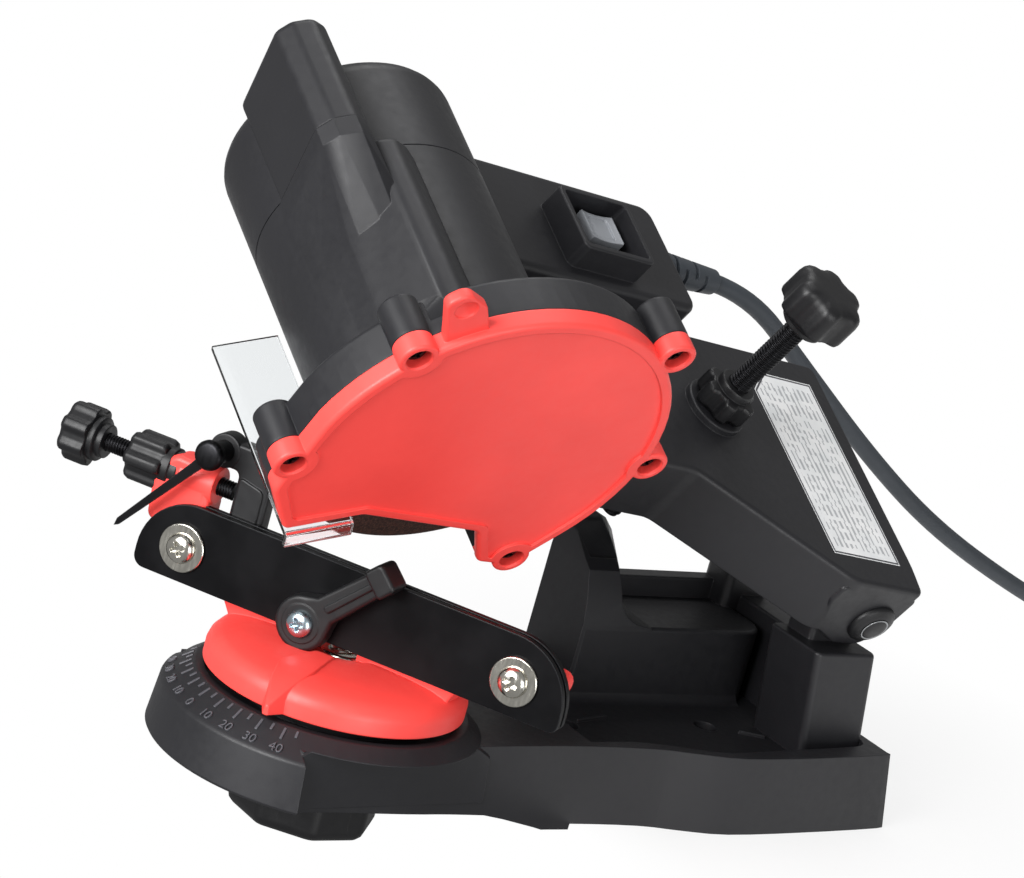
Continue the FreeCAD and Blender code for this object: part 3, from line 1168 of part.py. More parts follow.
def check_document():
    """Stops the build when any object failed or any sub-part is not a sound solid."""
    for thing in doc.Objects:
        if "Invalid" in thing.State or "Error" in thing.State:
            raise ValueError("failed object: %s (%s)" % (thing.Label, thing.getStatusString()))
        if thing.isDerivedFrom("PartDesign::Pocket"):
            before, after = thing.BaseFeature.Shape.Volume, thing.Shape.Volume
            if after > before - 0.01:
                print("pocket cuts nothing:", thing.Label)
    for part in sub_parts:
        shape = part.Shape
        if shape.isNull() or not shape.isValid():
            raise ValueError("unsound shape: " + part.Label)


def write_parts():
    os.makedirs("parts", exist_ok=True)
    for part in sub_parts:
        part.Shape.exportStep("parts/%s.step" % part.Label)
        print("%-16s %2d solid(s) %9.0f mm3" % (part.Label, len(part.Shape.Solids), part.Shape.Volume))


def main():
    for make in (make_base_housing, make_swivel_parts, make_turntable, make_rails, make_rail_fasteners,
                 make_clamp_lever, make_chain_stop, make_arm_shell, make_label_plate, make_pivot_parts,
                 make_depth_stop, make_motor_housing, make_motor_cap, make_disc_cover, make_cover_screws,
                 make_eye_shield, make_disc_parts, make_rotor, make_stator_parts, make_switch_box,
                 make_switch, make_strain_relief, make_cord, make_cord_coil, make_plug):
        make()
    doc.recompute()
    check_document()
    write_parts()


main()
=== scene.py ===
"""Electric chainsaw sharpener: finished pieces, materials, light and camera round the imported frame.

Pieces are drawn in millimetres in the frame they belong to and are then put in their place:
  BASE  midway between the bench bolts, +X to the rear, +Y to the far side, +Z up
  VISE  on the swivel axis, +X along the chain rails, +Y to the rear of the rails
  HEAD  on the pivot shaft, +X to the rear of the arm, +Y along the shaft, +Z out of the arm's top
"""
import math
from types import SimpleNamespace

import bmesh
import bpy
from mathutils import Matrix, Vector


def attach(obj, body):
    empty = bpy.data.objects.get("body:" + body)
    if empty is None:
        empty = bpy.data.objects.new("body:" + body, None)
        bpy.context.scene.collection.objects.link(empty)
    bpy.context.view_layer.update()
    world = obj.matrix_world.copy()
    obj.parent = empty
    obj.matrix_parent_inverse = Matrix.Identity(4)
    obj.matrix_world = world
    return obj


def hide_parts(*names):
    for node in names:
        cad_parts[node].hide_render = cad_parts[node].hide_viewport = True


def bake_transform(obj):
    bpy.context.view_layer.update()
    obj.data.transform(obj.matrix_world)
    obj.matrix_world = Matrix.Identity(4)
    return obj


bl_info = {
    "name": "Chainsaw sharpener",
    "version": (1, 0, 0),
    "blender": (4, 5, 0),
    "location": "View3D > Sidebar > Sharpener",
    "description": "Builds a bench chainsaw sharpener round its packed frame",
    "category": "Object",
}

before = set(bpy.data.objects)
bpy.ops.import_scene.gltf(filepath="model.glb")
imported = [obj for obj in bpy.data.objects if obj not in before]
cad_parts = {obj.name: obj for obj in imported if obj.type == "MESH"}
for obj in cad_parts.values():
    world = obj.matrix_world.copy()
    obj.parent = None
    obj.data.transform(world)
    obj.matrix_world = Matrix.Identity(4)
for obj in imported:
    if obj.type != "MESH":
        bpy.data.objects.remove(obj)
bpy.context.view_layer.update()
MM = 0.001

# ---------------------------------------------------------------- frames


def moved(place, x=0.0, y=0.0, z=0.0):
    """A frame moved along its own axes, in millimetres."""
    return place @ Matrix.Translation(Vector((x, y, z)) * MM)


def turned(place, axis, degrees):
    """A frame turned about one of its own axes."""
    return place @ Matrix.Rotation(math.radians(degrees), 4, axis)


BASE = Matrix.Identity(4)
SWIVEL_BACK = 127                # swivel axis in front of the bench bolts
CAM_X, CAM_Z = -9.6, 53          # clamp lever's screw on the rails
PIN_X, PIN_Z = -54.6, 92.2       # pawl's pin
STOP_Y, STOP_Z = -1, 80          # chain stop's screw
DEPTH_X, DEPTH_Y = -60, 78.5     # depth stop's screw on the arm
SCREWS_X = 1.4                   # middle between the two rail screws
MOTOR_X, RIM_X = -2, 2           # middles of the motor and of the cover's rim beside the disc
HOLE_5, HOLE_6, HOLE_8, HOLE_10 = 2.55, 3.05, 4.05, 5.05     # radii of the holes for 5 to 10 mm bars

SWIVEL = moved(BASE, -SWIVEL_BACK)
VISE = turned(SWIVEL, "Z", -58)
HEAD = turned(turned(moved(BASE, 64, -37.5, 65), "X", 30), "Y", 9)
DISC = moved(HEAD, -196, 0, 21)
DEPTH = moved(HEAD, DEPTH_X, DEPTH_Y)
STOP = moved(VISE, 0, STOP_Y, STOP_Z)
LEVER = turned(moved(VISE, CAM_X, 0, CAM_Z), "Y", -45)
PAWL = turned(moved(VISE, PIN_X, 0, PIN_Z), "Y", -231)
ROCKER = moved(HEAD, -97.5, 136.5, 28)
RELIEF = moved(HEAD, -56, 141, 20)

# ---------------------------------------------------------------- sizes and colours


def linear(code):
    """An sRGB hex colour as linear red, green and blue."""
    parts = [int(code[k:k + 2], 16) / 255 for k in (1, 3, 5)]
    return [p / 12.92 if p <= 0.04045 else ((p + 0.055) / 1.055) ** 2.4 for p in parts]


def length(name, text, millimetres):
    return bpy.props.FloatProperty(name=name, description=text, default=millimetres * MM,
                                   unit="LENGTH", precision=4)


def colour(name, text, code):
    return bpy.props.FloatVectorProperty(name=name, description=text, default=linear(code),
                                         subtype="COLOR", min=0.0, max=1.0)


class BaseSizes(bpy.types.PropertyGroup):
    """Sizes of the base and its swivel."""
    swivel: length("Swivel", "Swivel axis in front of the bench bolts", SWIVEL_BACK)
    drum_r: length("Drum radius", "Round front at its upper edge", 53.5)
    foot_r: length("Foot radius", "Round front at its foot", 55)
    foot_z: length("Foot height", "Underside of the round front", 8.2)
    edge_z: length("Edge height", "Upper edge of the round front", 24)
    scale_r: length("Scale radius", "Inner radius of the angle scale", 44)
    scale_z: length("Scale height", "Inner height of the angle scale", 31)
    deck_z: length("Deck height", "Top of the base walls", 27)
    floor_z: length("Tray floor", "Top of the tray floor", 20)
    wall: length("Wall", "Wall of the base housing", 3)
    bolt_pitch: length("Bolt pitch", "Distance between the bench bolts", 60)
    block_z: length("Block height", "Top of the raised block", 47)
    post_z: length("Post height", "Shoulder of the near post", 55)
    knob_r: length("Knob radius", "Swivel knob over its corners", 24.5)


class ViseSizes(bpy.types.PropertyGroup):
    """Sizes of the chain vise."""
    table_r: length("Turntable radius", "Rim of the turntable", 42.4)
    rail_len: length("Rail length", "Chain rails", 154)
    rail_high: length("Rail height", "Chain rails", 25.7)
    rail_thick: length("Rail thickness", "One rail plate", 2.3)
    rail_z: length("Rail foot", "Lower edge of the rails", 48)
    groove: length("Groove", "Chain groove between the rails", 1.4)
    rail_front: length("Rail front", "Front rail before the swivel axis", 9.5)
    screw_pitch: length("Screw pitch", "Distance between the rail screws", 118)
    screw_z: length("Screw height", "Rail screws", 59.3)
    washer_r: length("Washer radius", "Washers of the rail screws", 7.9)
    head_r: length("Screw head radius", "Heads of the rail screws", 4.9)


class HeadSizes(bpy.types.PropertyGroup):
    """Sizes of the arm, motor and disc cover."""
    arm_near: length("Arm near face", "Near face of the arm on the shaft", 12.3)
    arm_far: length("Arm far face", "Far face of the arm on the shaft", 112)
    arm_top: length("Arm top", "Top of the arm above the shaft", 17.8)
    arm_skirt: length("Arm skirt", "Lower edge of the arm's walls", -8)
    cover_r: length("Cover radius", "Round rim of the cover", 62)
    cover_w: length("Cover face", "Front face of the cover on the shaft", 28.5)
    rim_w: length("Cover joint", "Joint of cover and housing", 35)
    back_w: length("Housing back", "Rear face of the disc housing", 48)
    eye_r: length("Eye radius", "Screw eyes of the cover", 6.2)
    motor_r: length("Motor radius", "Motor housing", 38)
    seam_w: length("Motor joint", "Joint of motor housing and cap", 121)
    motor_end: length("Motor end", "End of the motor cap", 160)
    fin_end: length("Fin end", "End of the fin on the cap", 163)
    box_top: length("Switch box top", "Top of the switch box", 28)


class CordSizes(bpy.types.PropertyGroup):
    """Sizes of the mains cord."""
    radius: length("Cord radius", "Mains cord", 3.3)
    turn_r: length("Coil radius", "Middle turn of the coil", 35)
    real: length("Cord length", "Mains cord from the strain relief to the plug", 2065)


class Colours(bpy.types.PropertyGroup):
    """Colours of the finishes."""
    charcoal: colour("Charcoal", "Moulded housings", "#1d1d20")
    red: colour("Red", "Cover and turntable", "#ff4a44")
    satin: colour("Satin black", "Coated steel of the rails", "#08080a")
    rocker: colour("Rocker grey", "Switch rocker", "#8e9196")
    cord: colour("Cord grey", "Mains cord", "#3b4046")
    abrasive: colour("Abrasive brown", "Grinding disc", "#3a231b")
    floor: colour("Bench", "Bench top", "#f4f4f4")


GROUPS = {"sharpener_base": BaseSizes, "sharpener_vise": ViseSizes, "sharpener_head": HeadSizes,
          "sharpener_cord": CordSizes, "sharpener_colours": Colours}


def sizes(name):
    """The lengths of one property group, in millimetres."""
    group = getattr(bpy.context.scene, name)
    return SimpleNamespace(**{key: getattr(group, key) / MM for key in GROUPS[name].__annotations__})


def paint(name):
    """One colour of the property group, with full alpha."""
    return (*getattr(bpy.context.scene.sharpener_colours, name), 1.0)


# ---------------------------------------------------------------- modelling

NORMALS = {"YZ": 0, "XZ": 1, "XY": 2}     # the axis that stands on each drawing plane


def spot(plane, across, up, along):
    """A point in metres from millimetres on a drawing plane and along its normal."""
    places = {"XY": (across, up, along), "XZ": (across, along, up), "YZ": (along, across, up)}
    return Vector(places[plane]) * MM


def deselect():
    if bpy.context.mode != "OBJECT":
        bpy.ops.object.mode_set(mode="OBJECT")
    bpy.ops.object.select_all(action="DESELECT")


def only(*pieces):
    """Selects just these pieces and makes the first one active."""
    deselect()
    for piece in pieces:
        piece.select_set(True)
    bpy.context.view_layer.objects.active = pieces[0]


def edit(piece, select="SELECT"):
    only(piece)
    bpy.ops.object.mode_set(mode="EDIT")
    bpy.ops.mesh.select_mode(type="VERT")
    bpy.ops.mesh.select_all(action=select)


def finish_edit(piece, merge=0.002):
    """Merges doubles, turns the faces outwards and leaves edit mode."""
    bpy.ops.mesh.select_all(action="SELECT")
    bpy.ops.mesh.remove_doubles(threshold=merge * MM)
    bpy.ops.mesh.normals_make_consistent(inside=False)
    bpy.ops.object.mode_set(mode="OBJECT")
    return piece


def chain(points):
    """A chain of edges through points in metres, from one vertex that is extruded on and on."""
    bpy.ops.mesh.primitive_plane_add(size=MM, location=points[0])
    if bpy.context.mode == "OBJECT":
        bpy.ops.object.mode_set(mode="EDIT")
    bpy.ops.mesh.select_mode(type="VERT")
    bpy.ops.mesh.merge(type="CENTER")
    for start, end in zip(points, points[1:]):
        bpy.ops.mesh.extrude_vertices_move(TRANSFORM_OT_translate={"value": end - start})


def prism(plane, outline, low, high, bevel=0.0, steps=3, ends="both"):
    """A closed outline pushed from low to high; bevel rounds the edges of its ends."""
    deselect()
    chain([spot(plane, x, y, low) for x, y in outline])
    bpy.ops.mesh.select_all(action="SELECT")
    bpy.ops.mesh.edge_face_add()
    bpy.ops.mesh.extrude_region_move(TRANSFORM_OT_translate={"value": spot(plane, 0, 0, high - low)})
    piece = bpy.context.object
    finish_edit(piece)
    apply_place(piece)
    if bevel:
        level = {"both": (low, high), "low": (low,), "high": (high,)}[ends]
        axis = NORMALS[plane]
        round_edges(piece, lambda a, b: any(abs(a[axis] - z) < 0.01 and abs(b[axis] - z) < 0.01
                                            for z in level), bevel, steps)
    return piece


def loft(plane, sections):
    """A solid through outlines of as many points each, given as (along, outline)."""
    deselect()
    for k, (along, outline) in enumerate(sections):
        if k:
            bpy.ops.mesh.select_all(action="DESELECT")
        chain([spot(plane, x, y, along) for x, y in outline + outline[:1]])
    piece = bpy.context.object
    bpy.ops.mesh.select_all(action="SELECT")
    bpy.ops.mesh.remove_doubles(threshold=0.002 * MM)
    for (lower, _), (upper, _) in zip(sections, sections[1:]):
        select_levels(piece, plane, [lower, upper])
        bpy.ops.mesh.bridge_edge_loops()
    for along in (sections[0][0], sections[-1][0]):
        select_levels(piece, plane, [along])
        bpy.ops.mesh.edge_face_add()
    finish_edit(piece)
    apply_place(piece)
    return piece


def stack(plane, outline, levels, x=0.0, y=0.0):
    """An outline pushed through (along, scale) levels about a centre, closed at both ends."""
    first, scale = levels[0]
    deselect()
    chain([spot(plane, x + px * scale, y + py * scale, first) for px, py in outline])
    bpy.ops.mesh.select_all(action="SELECT")
    bpy.ops.mesh.edge_face_add()
    for (before, old), (after, new) in zip(levels, levels[1:]):
        rise = spot(plane, 0, 0, after - before)
        bpy.ops.mesh.extrude_region_move(TRANSFORM_OT_translate={"value": rise})
        bpy.ops.transform.resize(value=(new / old,) * 3, center_override=spot(plane, x, y, after))
    piece = finish_edit(bpy.context.object)
    apply_place(piece)
    return piece


def select_levels(piece, plane, levels):
    """Selects the loops that lie at given distances along a plane's normal."""
    axis = NORMALS[plane]
    shape = bmesh.from_edit_mesh(piece.data)
    offset = piece.location[axis]
    bpy.ops.mesh.select_mode(type="VERT")
    for vertex in shape.verts:
        place = (vertex.co[axis] + offset) / MM
        vertex.select = any(abs(place - level) < 0.01 for level in levels)
    for edge in shape.edges:
        ends = [(v.co[axis] + offset) / MM for v in edge.verts]
        edge.select = any(all(abs(end - level) < 0.01 for end in ends) for level in levels)
    bmesh.update_edit_mesh(piece.data)


def apply_place(piece):
    only(piece)
    bpy.ops.object.transform_apply(location=True, rotation=True, scale=True)


def placed(piece, place):
    """Moves a piece by a frame and puts the move into its mesh."""
    piece.matrix_world = place @ piece.matrix_world
    apply_place(piece)
    return piece


def remove(*pieces):
    only(*pieces)
    bpy.ops.object.delete()


def close_ends(piece):
    """Fills the open ends of a wound or threaded bar."""
    bpy.ops.mesh.select_all(action="DESELECT")
    bpy.ops.mesh.select_mode(type="EDGE")
    bpy.ops.mesh.select_non_manifold(extend=False)
    bpy.ops.mesh.fill(use_beauty=False)
    return finish_edit(piece)


def rod(plane, x, y, radius, low, high, sides=48, bevel=0.0, steps=2):
    """A round bar along a plane's normal."""
    tilt = {"XY": (0, 0, 0), "XZ": (math.pi / 2, 0, 0), "YZ": (0, math.pi / 2, 0)}[plane]
    deselect()
    bpy.ops.mesh.primitive_cylinder_add(vertices=sides, radius=radius * MM, depth=(high - low) * MM,
                                        location=spot(plane, x, y, (low + high) / 2), rotation=tilt)
    piece = bpy.context.object
    apply_place(piece)
    if bevel:
        soften(piece, bevel, steps, 60)
    return piece


def lathe(plane, profile, x=0.0, y=0.0, sides=64, closed=False):
    """A profile of (radius, along) points spun round a plane's normal."""
    deselect()
    points = [spot(plane, x + r, y, along) for r, along in profile]
    chain(points + points[:1] if closed else points)
    bpy.ops.mesh.select_all(action="SELECT")
    bpy.ops.mesh.spin(steps=sides, angle=math.tau, center=spot(plane, x, y, 0),
                      axis=spot(plane, 0, 0, 1).normalized())
    piece = finish_edit(bpy.context.object)
    apply_place(piece)
    return piece


def thread(radius, depth, pitch, start, end, sides=20):
    """A threaded bar along +Z with closed ends."""
    turns = int((end - start) / pitch)
    profile = [(radius - depth, 0.0), (radius, pitch * 0.4), (radius, pitch * 0.6), (radius - depth, pitch)]
    deselect()
    chain([Vector((r, 0, start + rise)) * MM for r, rise in profile])
    bpy.ops.object.mode_set(mode="OBJECT")
    piece = bpy.context.object
    apply_place(piece)
    modify(piece, "SCREW", angle=math.tau, screw_offset=pitch * MM, iterations=turns, steps=sides,
           render_steps=sides)
    edit(piece)
    bpy.ops.mesh.remove_doubles(threshold=0.01 * MM)
    return close_ends(piece)


def modify(piece, kind, **settings):
    """Adds a modifier with its settings and applies it."""
    only(piece)
    bpy.ops.object.modifier_add(type=kind)
    modifier = piece.modifiers[-1]
    for key, value in settings.items():
        setattr(modifier, key, value)
    bpy.ops.object.modifier_apply(modifier=modifier.name)
    return piece


def soften(piece, width, steps=2, angle=30):
    """Rounds every edge sharper than an angle."""
    return modify(piece, "BEVEL", width=width * MM, segments=steps, limit_method="ANGLE",
                  angle_limit=math.radians(angle), use_clamp_overlap=True)


def round_edges(piece, wanted, width, steps=3):
    """Rounds the edges that wanted(start, end) picks, with ends in millimetres."""
    edit(piece, "DESELECT")
    bpy.ops.mesh.select_mode(type="EDGE")
    shape = bmesh.from_edit_mesh(piece.data)
    for edge in shape.edges:
        edge.select = bool(wanted(edge.verts[0].co / MM, edge.verts[1].co / MM))
    bmesh.update_edit_mesh(piece.data)
    bpy.ops.mesh.bevel(offset=width * MM, segments=steps, affect="EDGES", clamp_overlap=True)
    return finish_edit(piece, 0.0005)


def combine(body, how, tools):
    """Adds, cuts or keeps what is common with each tool, and removes the tools."""
    for tool in tools:
        modify(body, "BOOLEAN", operation=how, object=tool, solver="MANIFOLD")
        remove(tool)
    return body


def fuse(body, *tools):
    return combine(body, "UNION", tools)


def cut(body, *tools):
    return combine(body, "DIFFERENCE", tools)


def common(body, *tools):
    return combine(body, "INTERSECT", tools)


def copy_of(piece, place):
    """A copy with its own mesh, moved by a frame."""
    only(piece)
    bpy.ops.object.duplicate(linked=False)
    return placed(bpy.context.object, place)


def joined(*pieces):
    """Several shells as one object."""
    only(*pieces)
    bpy.ops.object.join()
    return bpy.context.object


def settle(piece, name, place, finish, body, slot, *nodes, smooth=40):
    """Puts a finished piece where it belongs, gives it its finish, hangs it on the body it rides on and hides
    the imported parts it stands for.
    """
    only(piece)
    piece.name = piece.data.name = name
    placed(piece, place)
    bpy.ops.object.shade_smooth_by_angle(angle=math.radians(smooth))
    modify(piece, "WEIGHTED_NORMAL", keep_sharp=True, weight=60)
    piece.data.materials.clear()
    piece.data.materials.append(bpy.data.materials[finish])
    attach(piece, body)
    if nodes:
        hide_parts(*nodes)
    return piece


def arc(x, y, radius, start, end, steps):
    """Points on an arc, both ends included; angles in degrees."""
    turn = [math.radians(start + (end - start) * k / steps) for k in range(steps + 1)]
    return [(x + radius * math.cos(t), y + radius * math.sin(t)) for t in turn]


def rounded(corners, steps=5, share=0.49):
    """An outline whose corners (x, y, radius) become arcs; a corner (x, y) stays sharp.

    An arc takes no more than a share of the shorter edge beside it.
    """
    outline = []
    for k, corner in enumerate(corners):
        here = Vector(corner[:2])
        if len(corner) == 2:
            outline.append(tuple(here))
            continue
        before = Vector(corners[k - 1][:2]) - here
        after = Vector(corners[(k + 1) % len(corners)][:2]) - here
        half = before.angle(after) / 2
        reach = min(corner[2] / math.tan(half), before.length * share, after.length * share)
        radius = reach * math.tan(half)
        middle = (before.normalized() + after.normalized()).normalized()
        centre = here + middle * (radius / math.sin(half))
        first = here + before.normalized() * reach - centre
        last = here + after.normalized() * reach - centre
        sweep = first.angle_signed(last)
        for step in range(steps + 1):
            spoke = first.copy()
            spoke.rotate(Matrix.Rotation(-sweep * step / steps, 2))
            outline.append(tuple(centre + spoke))
    return outline


def flowing(points, steps=4):
    """A smooth curve through points, both ends included."""
    path = [Vector(p) for p in points]
    path = [path[0] * 2 - path[1]] + path + [path[-1] * 2 - path[-2]]
    out = []
    for a, b, c, d in zip(path, path[1:], path[2:], path[3:]):
        for step in range(steps):
            t = step / steps
            out.append(tuple(0.5 * (2 * b + (c - a) * t + (2 * a - 5 * b + 4 * c - d) * t ** 2
                                    + (3 * b - a - 3 * c + d) * t ** 3)))
    return out + [tuple(path[-2])]


def lobes(outer, inner, count, sharp=1.8, sides=96):
    """A grip's outline with rounded lobes between two radii."""
    outline = []
    for k in range(sides):
        turn = math.tau * k / sides
        lift = min(max(0.5 + 0.5 * sharp * math.cos(count * turn), 0.0), 1.0)
        lift = lift * lift * (3 - 2 * lift)
        radius = inner + (outer - inner) * lift
        outline.append((radius * math.cos(turn), radius * math.sin(turn)))
    return outline


def rectangle(x0, x1, y0, y1):
    return [(x0, y0), (x1, y0), (x1, y1), (x0, y1)]


def pad(x0, x1, y0, y1, radius, steps=3):
    """A rectangle with rounded corners."""
    return rounded([(x, y, radius) for x, y in rectangle(x0, x1, y0, y1)], steps)


def cross_recess(radius, depth, top):
    """Tool that leaves a cross recess below a screw head's top along +Z."""
    wide = radius * 0.3
    blade = prism("XY", pad(-radius, radius, -wide, wide, wide * 0.6), top - depth, top + 1)
    return fuse(blade, copy_of(blade, turned(BASE, "Z", 90)))


def pan_screw(head_r, head_high, shank_r, shank):
    """A cross-recessed pan-head screw: head on +Z from zero, shank below."""
    dome = [(0, head_high), (head_r * 0.45, head_high * 0.97), (head_r * 0.72, head_high * 0.84),
            (head_r * 0.9, head_high * 0.6), (head_r, head_high * 0.25), (head_r * 0.98, 0)]
    body = lathe("XY", dome + [(shank_r, 0), (shank_r, -shank + 0.8), (shank_r - 0.6, -shank), (0, -shank)])
    return cut(body, cross_recess(head_r * 0.52, head_high * 0.6, head_high))


def hexagon_nut(corner_r, high, hole_r):
    """A chamfered hexagon nut from zero to high along +Z."""
    nut = prism("XY", arc(0, 0, corner_r, 0, 300, 5), 0, high)
    flat = corner_r * 0.93
    common(nut, lathe("XY", [(0, -0.01), (flat, -0.01), (corner_r + 0.1, high * 0.14),
                             (corner_r + 0.1, high * 0.86), (flat, high + 0.01), (0, high + 0.01)], sides=48))
    return cut(nut, rod("XY", 0, 0, hole_r, -1, high + 1, 24))


# ---------------------------------------------------------------- finishes

NOISE = "ShaderNodeTexNoise"
RAMP = "ShaderNodeValToRGB"
MIX = "ShaderNodeMix"
MATHS = "ShaderNodeMath"
STRETCH = "ShaderNodeMapping"
BUMP = "ShaderNodeBump"


def add(tree, kind, links=None, stops=(), **settings):
    """Adds a node with its settings and a ramp's (position, colour) stops; a given output is linked."""
    node = tree.nodes.new(kind)
    for key, value in settings.items():
        setattr(node, key, value)
    for key, value in (links or {}).items():
        if isinstance(value, bpy.types.NodeSocket):
            tree.links.new(value, node.inputs[key])
        else:
            node.inputs[key].default_value = value
    for k, (position, tone) in enumerate(stops):
        node.color_ramp.elements[k].position = position
        node.color_ramp.elements[k].color = tone
    return node


def per_mm(size):
    """The texture scale at which a pattern's features are so many millimetres wide."""
    return 1 / (size * MM)


def hue(code):
    return (*linear(code), 1.0)


def grey(level):
    return (level, level, level, 1.0)


def scaled(tone, factor):
    return (*[min(channel * factor, 1.0) for channel in tone[:3]], 1.0)


def new_finish(name):
    """A material with its tree, shader and object coordinates."""
    material = bpy.data.materials.new(name)
    material.use_nodes = True
    tree = material.node_tree
    place = add(tree, "ShaderNodeTexCoord").outputs["Object"]
    return tree, tree.nodes["Principled BSDF"], place


def painted_edge_highlights(tree, radius, strength):
    """A mask for painted highlights along sharp edges, and a normal that rounds them."""
    round_normal = add(tree, "ShaderNodeBevel", {"Radius": radius * MM}, samples=6).outputs["Normal"]
    flat_normal = add(tree, "ShaderNodeNewGeometry").outputs["Normal"]
    alike = add(tree, "ShaderNodeVectorMath", {0: round_normal, 1: flat_normal}, operation="DOT_PRODUCT")
    mask = add(tree, RAMP, {"Fac": alike.outputs["Value"]},
               stops=[(0.86, grey(strength)), (0.995, grey(0.0))])
    return mask.outputs["Color"], round_normal


def moulded(name, tone, rough, grain=0.45, relief=0.03, scuff=0.3):
    """Injection-moulded plastic: a fine spark-eroded grain, faint flow clouds, a few scuffs and painted
    highlights along its edges.
    """
    tree, shader, place = new_finish(name)
    clouds = add(tree, NOISE, {"Vector": place, "Scale": per_mm(38), "Detail": 3.0})
    base = add(tree, RAMP, {"Fac": clouds.outputs["Fac"]},
               stops=[(0.3, scaled(tone, 0.9)), (0.7, scaled(tone, 1.08))])
    edge, normal = painted_edge_highlights(tree, 0.5, 0.3)
    # Sharp edges are painted paler as a highlight
    edge_highlight_mix = add(tree, MIX, {0: edge, 6: base.outputs["Color"], 7: scaled(tone, 1.9)}, data_type="RGBA")
    drawn = add(tree, STRETCH, {"Vector": place, "Scale": (1.0, 0.12, 0.35), "Rotation": (0.4, 0.2, 0.9)})
    lines = add(tree, NOISE, {"Vector": drawn.outputs["Vector"], "Scale": per_mm(1.1), "Detail": 2.0})
    marks = add(tree, RAMP, {"Fac": lines.outputs["Fac"]}, stops=[(0.7, grey(0.0)), (0.78, grey(scuff))])
    scuffs_and_highlights = add(tree, MIX, {0: marks.outputs["Color"], 6: edge_highlight_mix.outputs[2], 7: scaled(tone, 1.5)},
                data_type="RGBA")
    tree.links.new(scuffs_and_highlights.outputs[2], shader.inputs["Base Color"])
    wisps = add(tree, NOISE, {"Vector": place, "Scale": per_mm(3.2), "Detail": 5.0, "Roughness": 0.65})
    gloss = add(tree, RAMP, {"Fac": wisps.outputs["Fac"]},
                stops=[(0.3, grey(rough - 0.05)), (0.7, grey(rough + 0.07))])
    tree.links.new(gloss.outputs["Color"], shader.inputs["Roughness"])
    fine = add(tree, NOISE, {"Vector": place, "Scale": per_mm(grain), "Detail": 2.0})
    bump = add(tree, BUMP, {"Height": fine.outputs["Fac"], "Strength": 0.35, "Distance": relief * MM,
                            "Normal": normal})
    tree.links.new(bump.outputs["Normal"], shader.inputs["Normal"])
    shader.inputs["IOR"].default_value = 1.53
    shader.inputs["Specular IOR Level"].default_value = 0.4


def metal(name, code, rough, lay=(1.0, 0.08, 0.08), line=0.35, depth=0.01):
    """Bare or plated metal: fine lines left by turning or brushing, dull patches, and edges painted brighter
    as a highlight.
    """
    tree, shader, place = new_finish(name)
    tone = hue(code)
    patches = add(tree, NOISE, {"Vector": place, "Scale": per_mm(4.0), "Detail": 4.0})
    base = add(tree, RAMP, {"Fac": patches.outputs["Fac"]}, stops=[(0.35, scaled(tone, 0.88)), (0.65, tone)])
    edge, normal = painted_edge_highlights(tree, 0.3, 0.6)
    # Edges painted brighter: a painted highlight
    bright = add(tree, MIX, {0: edge, 6: base.outputs["Color"], 7: scaled(tone, 1.25)}, data_type="RGBA")
    tree.links.new(bright.outputs[2], shader.inputs["Base Color"])
    along = add(tree, STRETCH, {"Vector": place, "Scale": lay})
    lines = add(tree, NOISE, {"Vector": along.outputs["Vector"], "Scale": per_mm(line), "Detail": 3.0})
    gloss = add(tree, RAMP, {"Fac": lines.outputs["Fac"]},
                stops=[(0.3, grey(rough - 0.06)), (0.7, grey(rough + 0.08))])
    tree.links.new(gloss.outputs["Color"], shader.inputs["Roughness"])
    bump = add(tree, BUMP, {"Height": lines.outputs["Fac"], "Strength": 0.3, "Distance": depth * MM,
                            "Normal": normal})
    tree.links.new(bump.outputs["Normal"], shader.inputs["Normal"])
    shader.inputs["Metallic"].default_value = 1.0


def coated_steel():
    """Phosphated and oiled sheet steel of the rails: a satin black film, paler along its edges where it wears
    thin and as a painted highlight.
    """
    tree, shader, place = new_finish("coated_steel_satin")
    tone = paint("satin")
    haze = add(tree, NOISE, {"Vector": place, "Scale": per_mm(14), "Detail": 4.0}).outputs["Fac"]
    base = add(tree, RAMP, {"Fac": haze}, stops=[(0.35, scaled(tone, 0.8)), (0.65, scaled(tone, 1.2))])
    edge, normal = painted_edge_highlights(tree, 0.45, 0.5)
    # Pale edges: worn film and a painted highlight
    thin = add(tree, MIX, {0: edge, 6: base.outputs["Color"], 7: hue("#55575a")}, data_type="RGBA")
    tree.links.new(thin.outputs[2], shader.inputs["Base Color"])
    gloss = add(tree, RAMP, {"Fac": haze}, stops=[(0.35, grey(0.34)), (0.65, grey(0.44))])
    tree.links.new(gloss.outputs["Color"], shader.inputs["Roughness"])
    film = add(tree, NOISE, {"Vector": place, "Scale": per_mm(0.5), "Detail": 3.0})
    bump = add(tree, BUMP, {"Height": film.outputs["Fac"], "Strength": 0.25, "Distance": 0.015 * MM,
                            "Normal": normal})
    tree.links.new(bump.outputs["Normal"], shader.inputs["Normal"])
    shader.inputs["Specular IOR Level"].default_value = 0.14


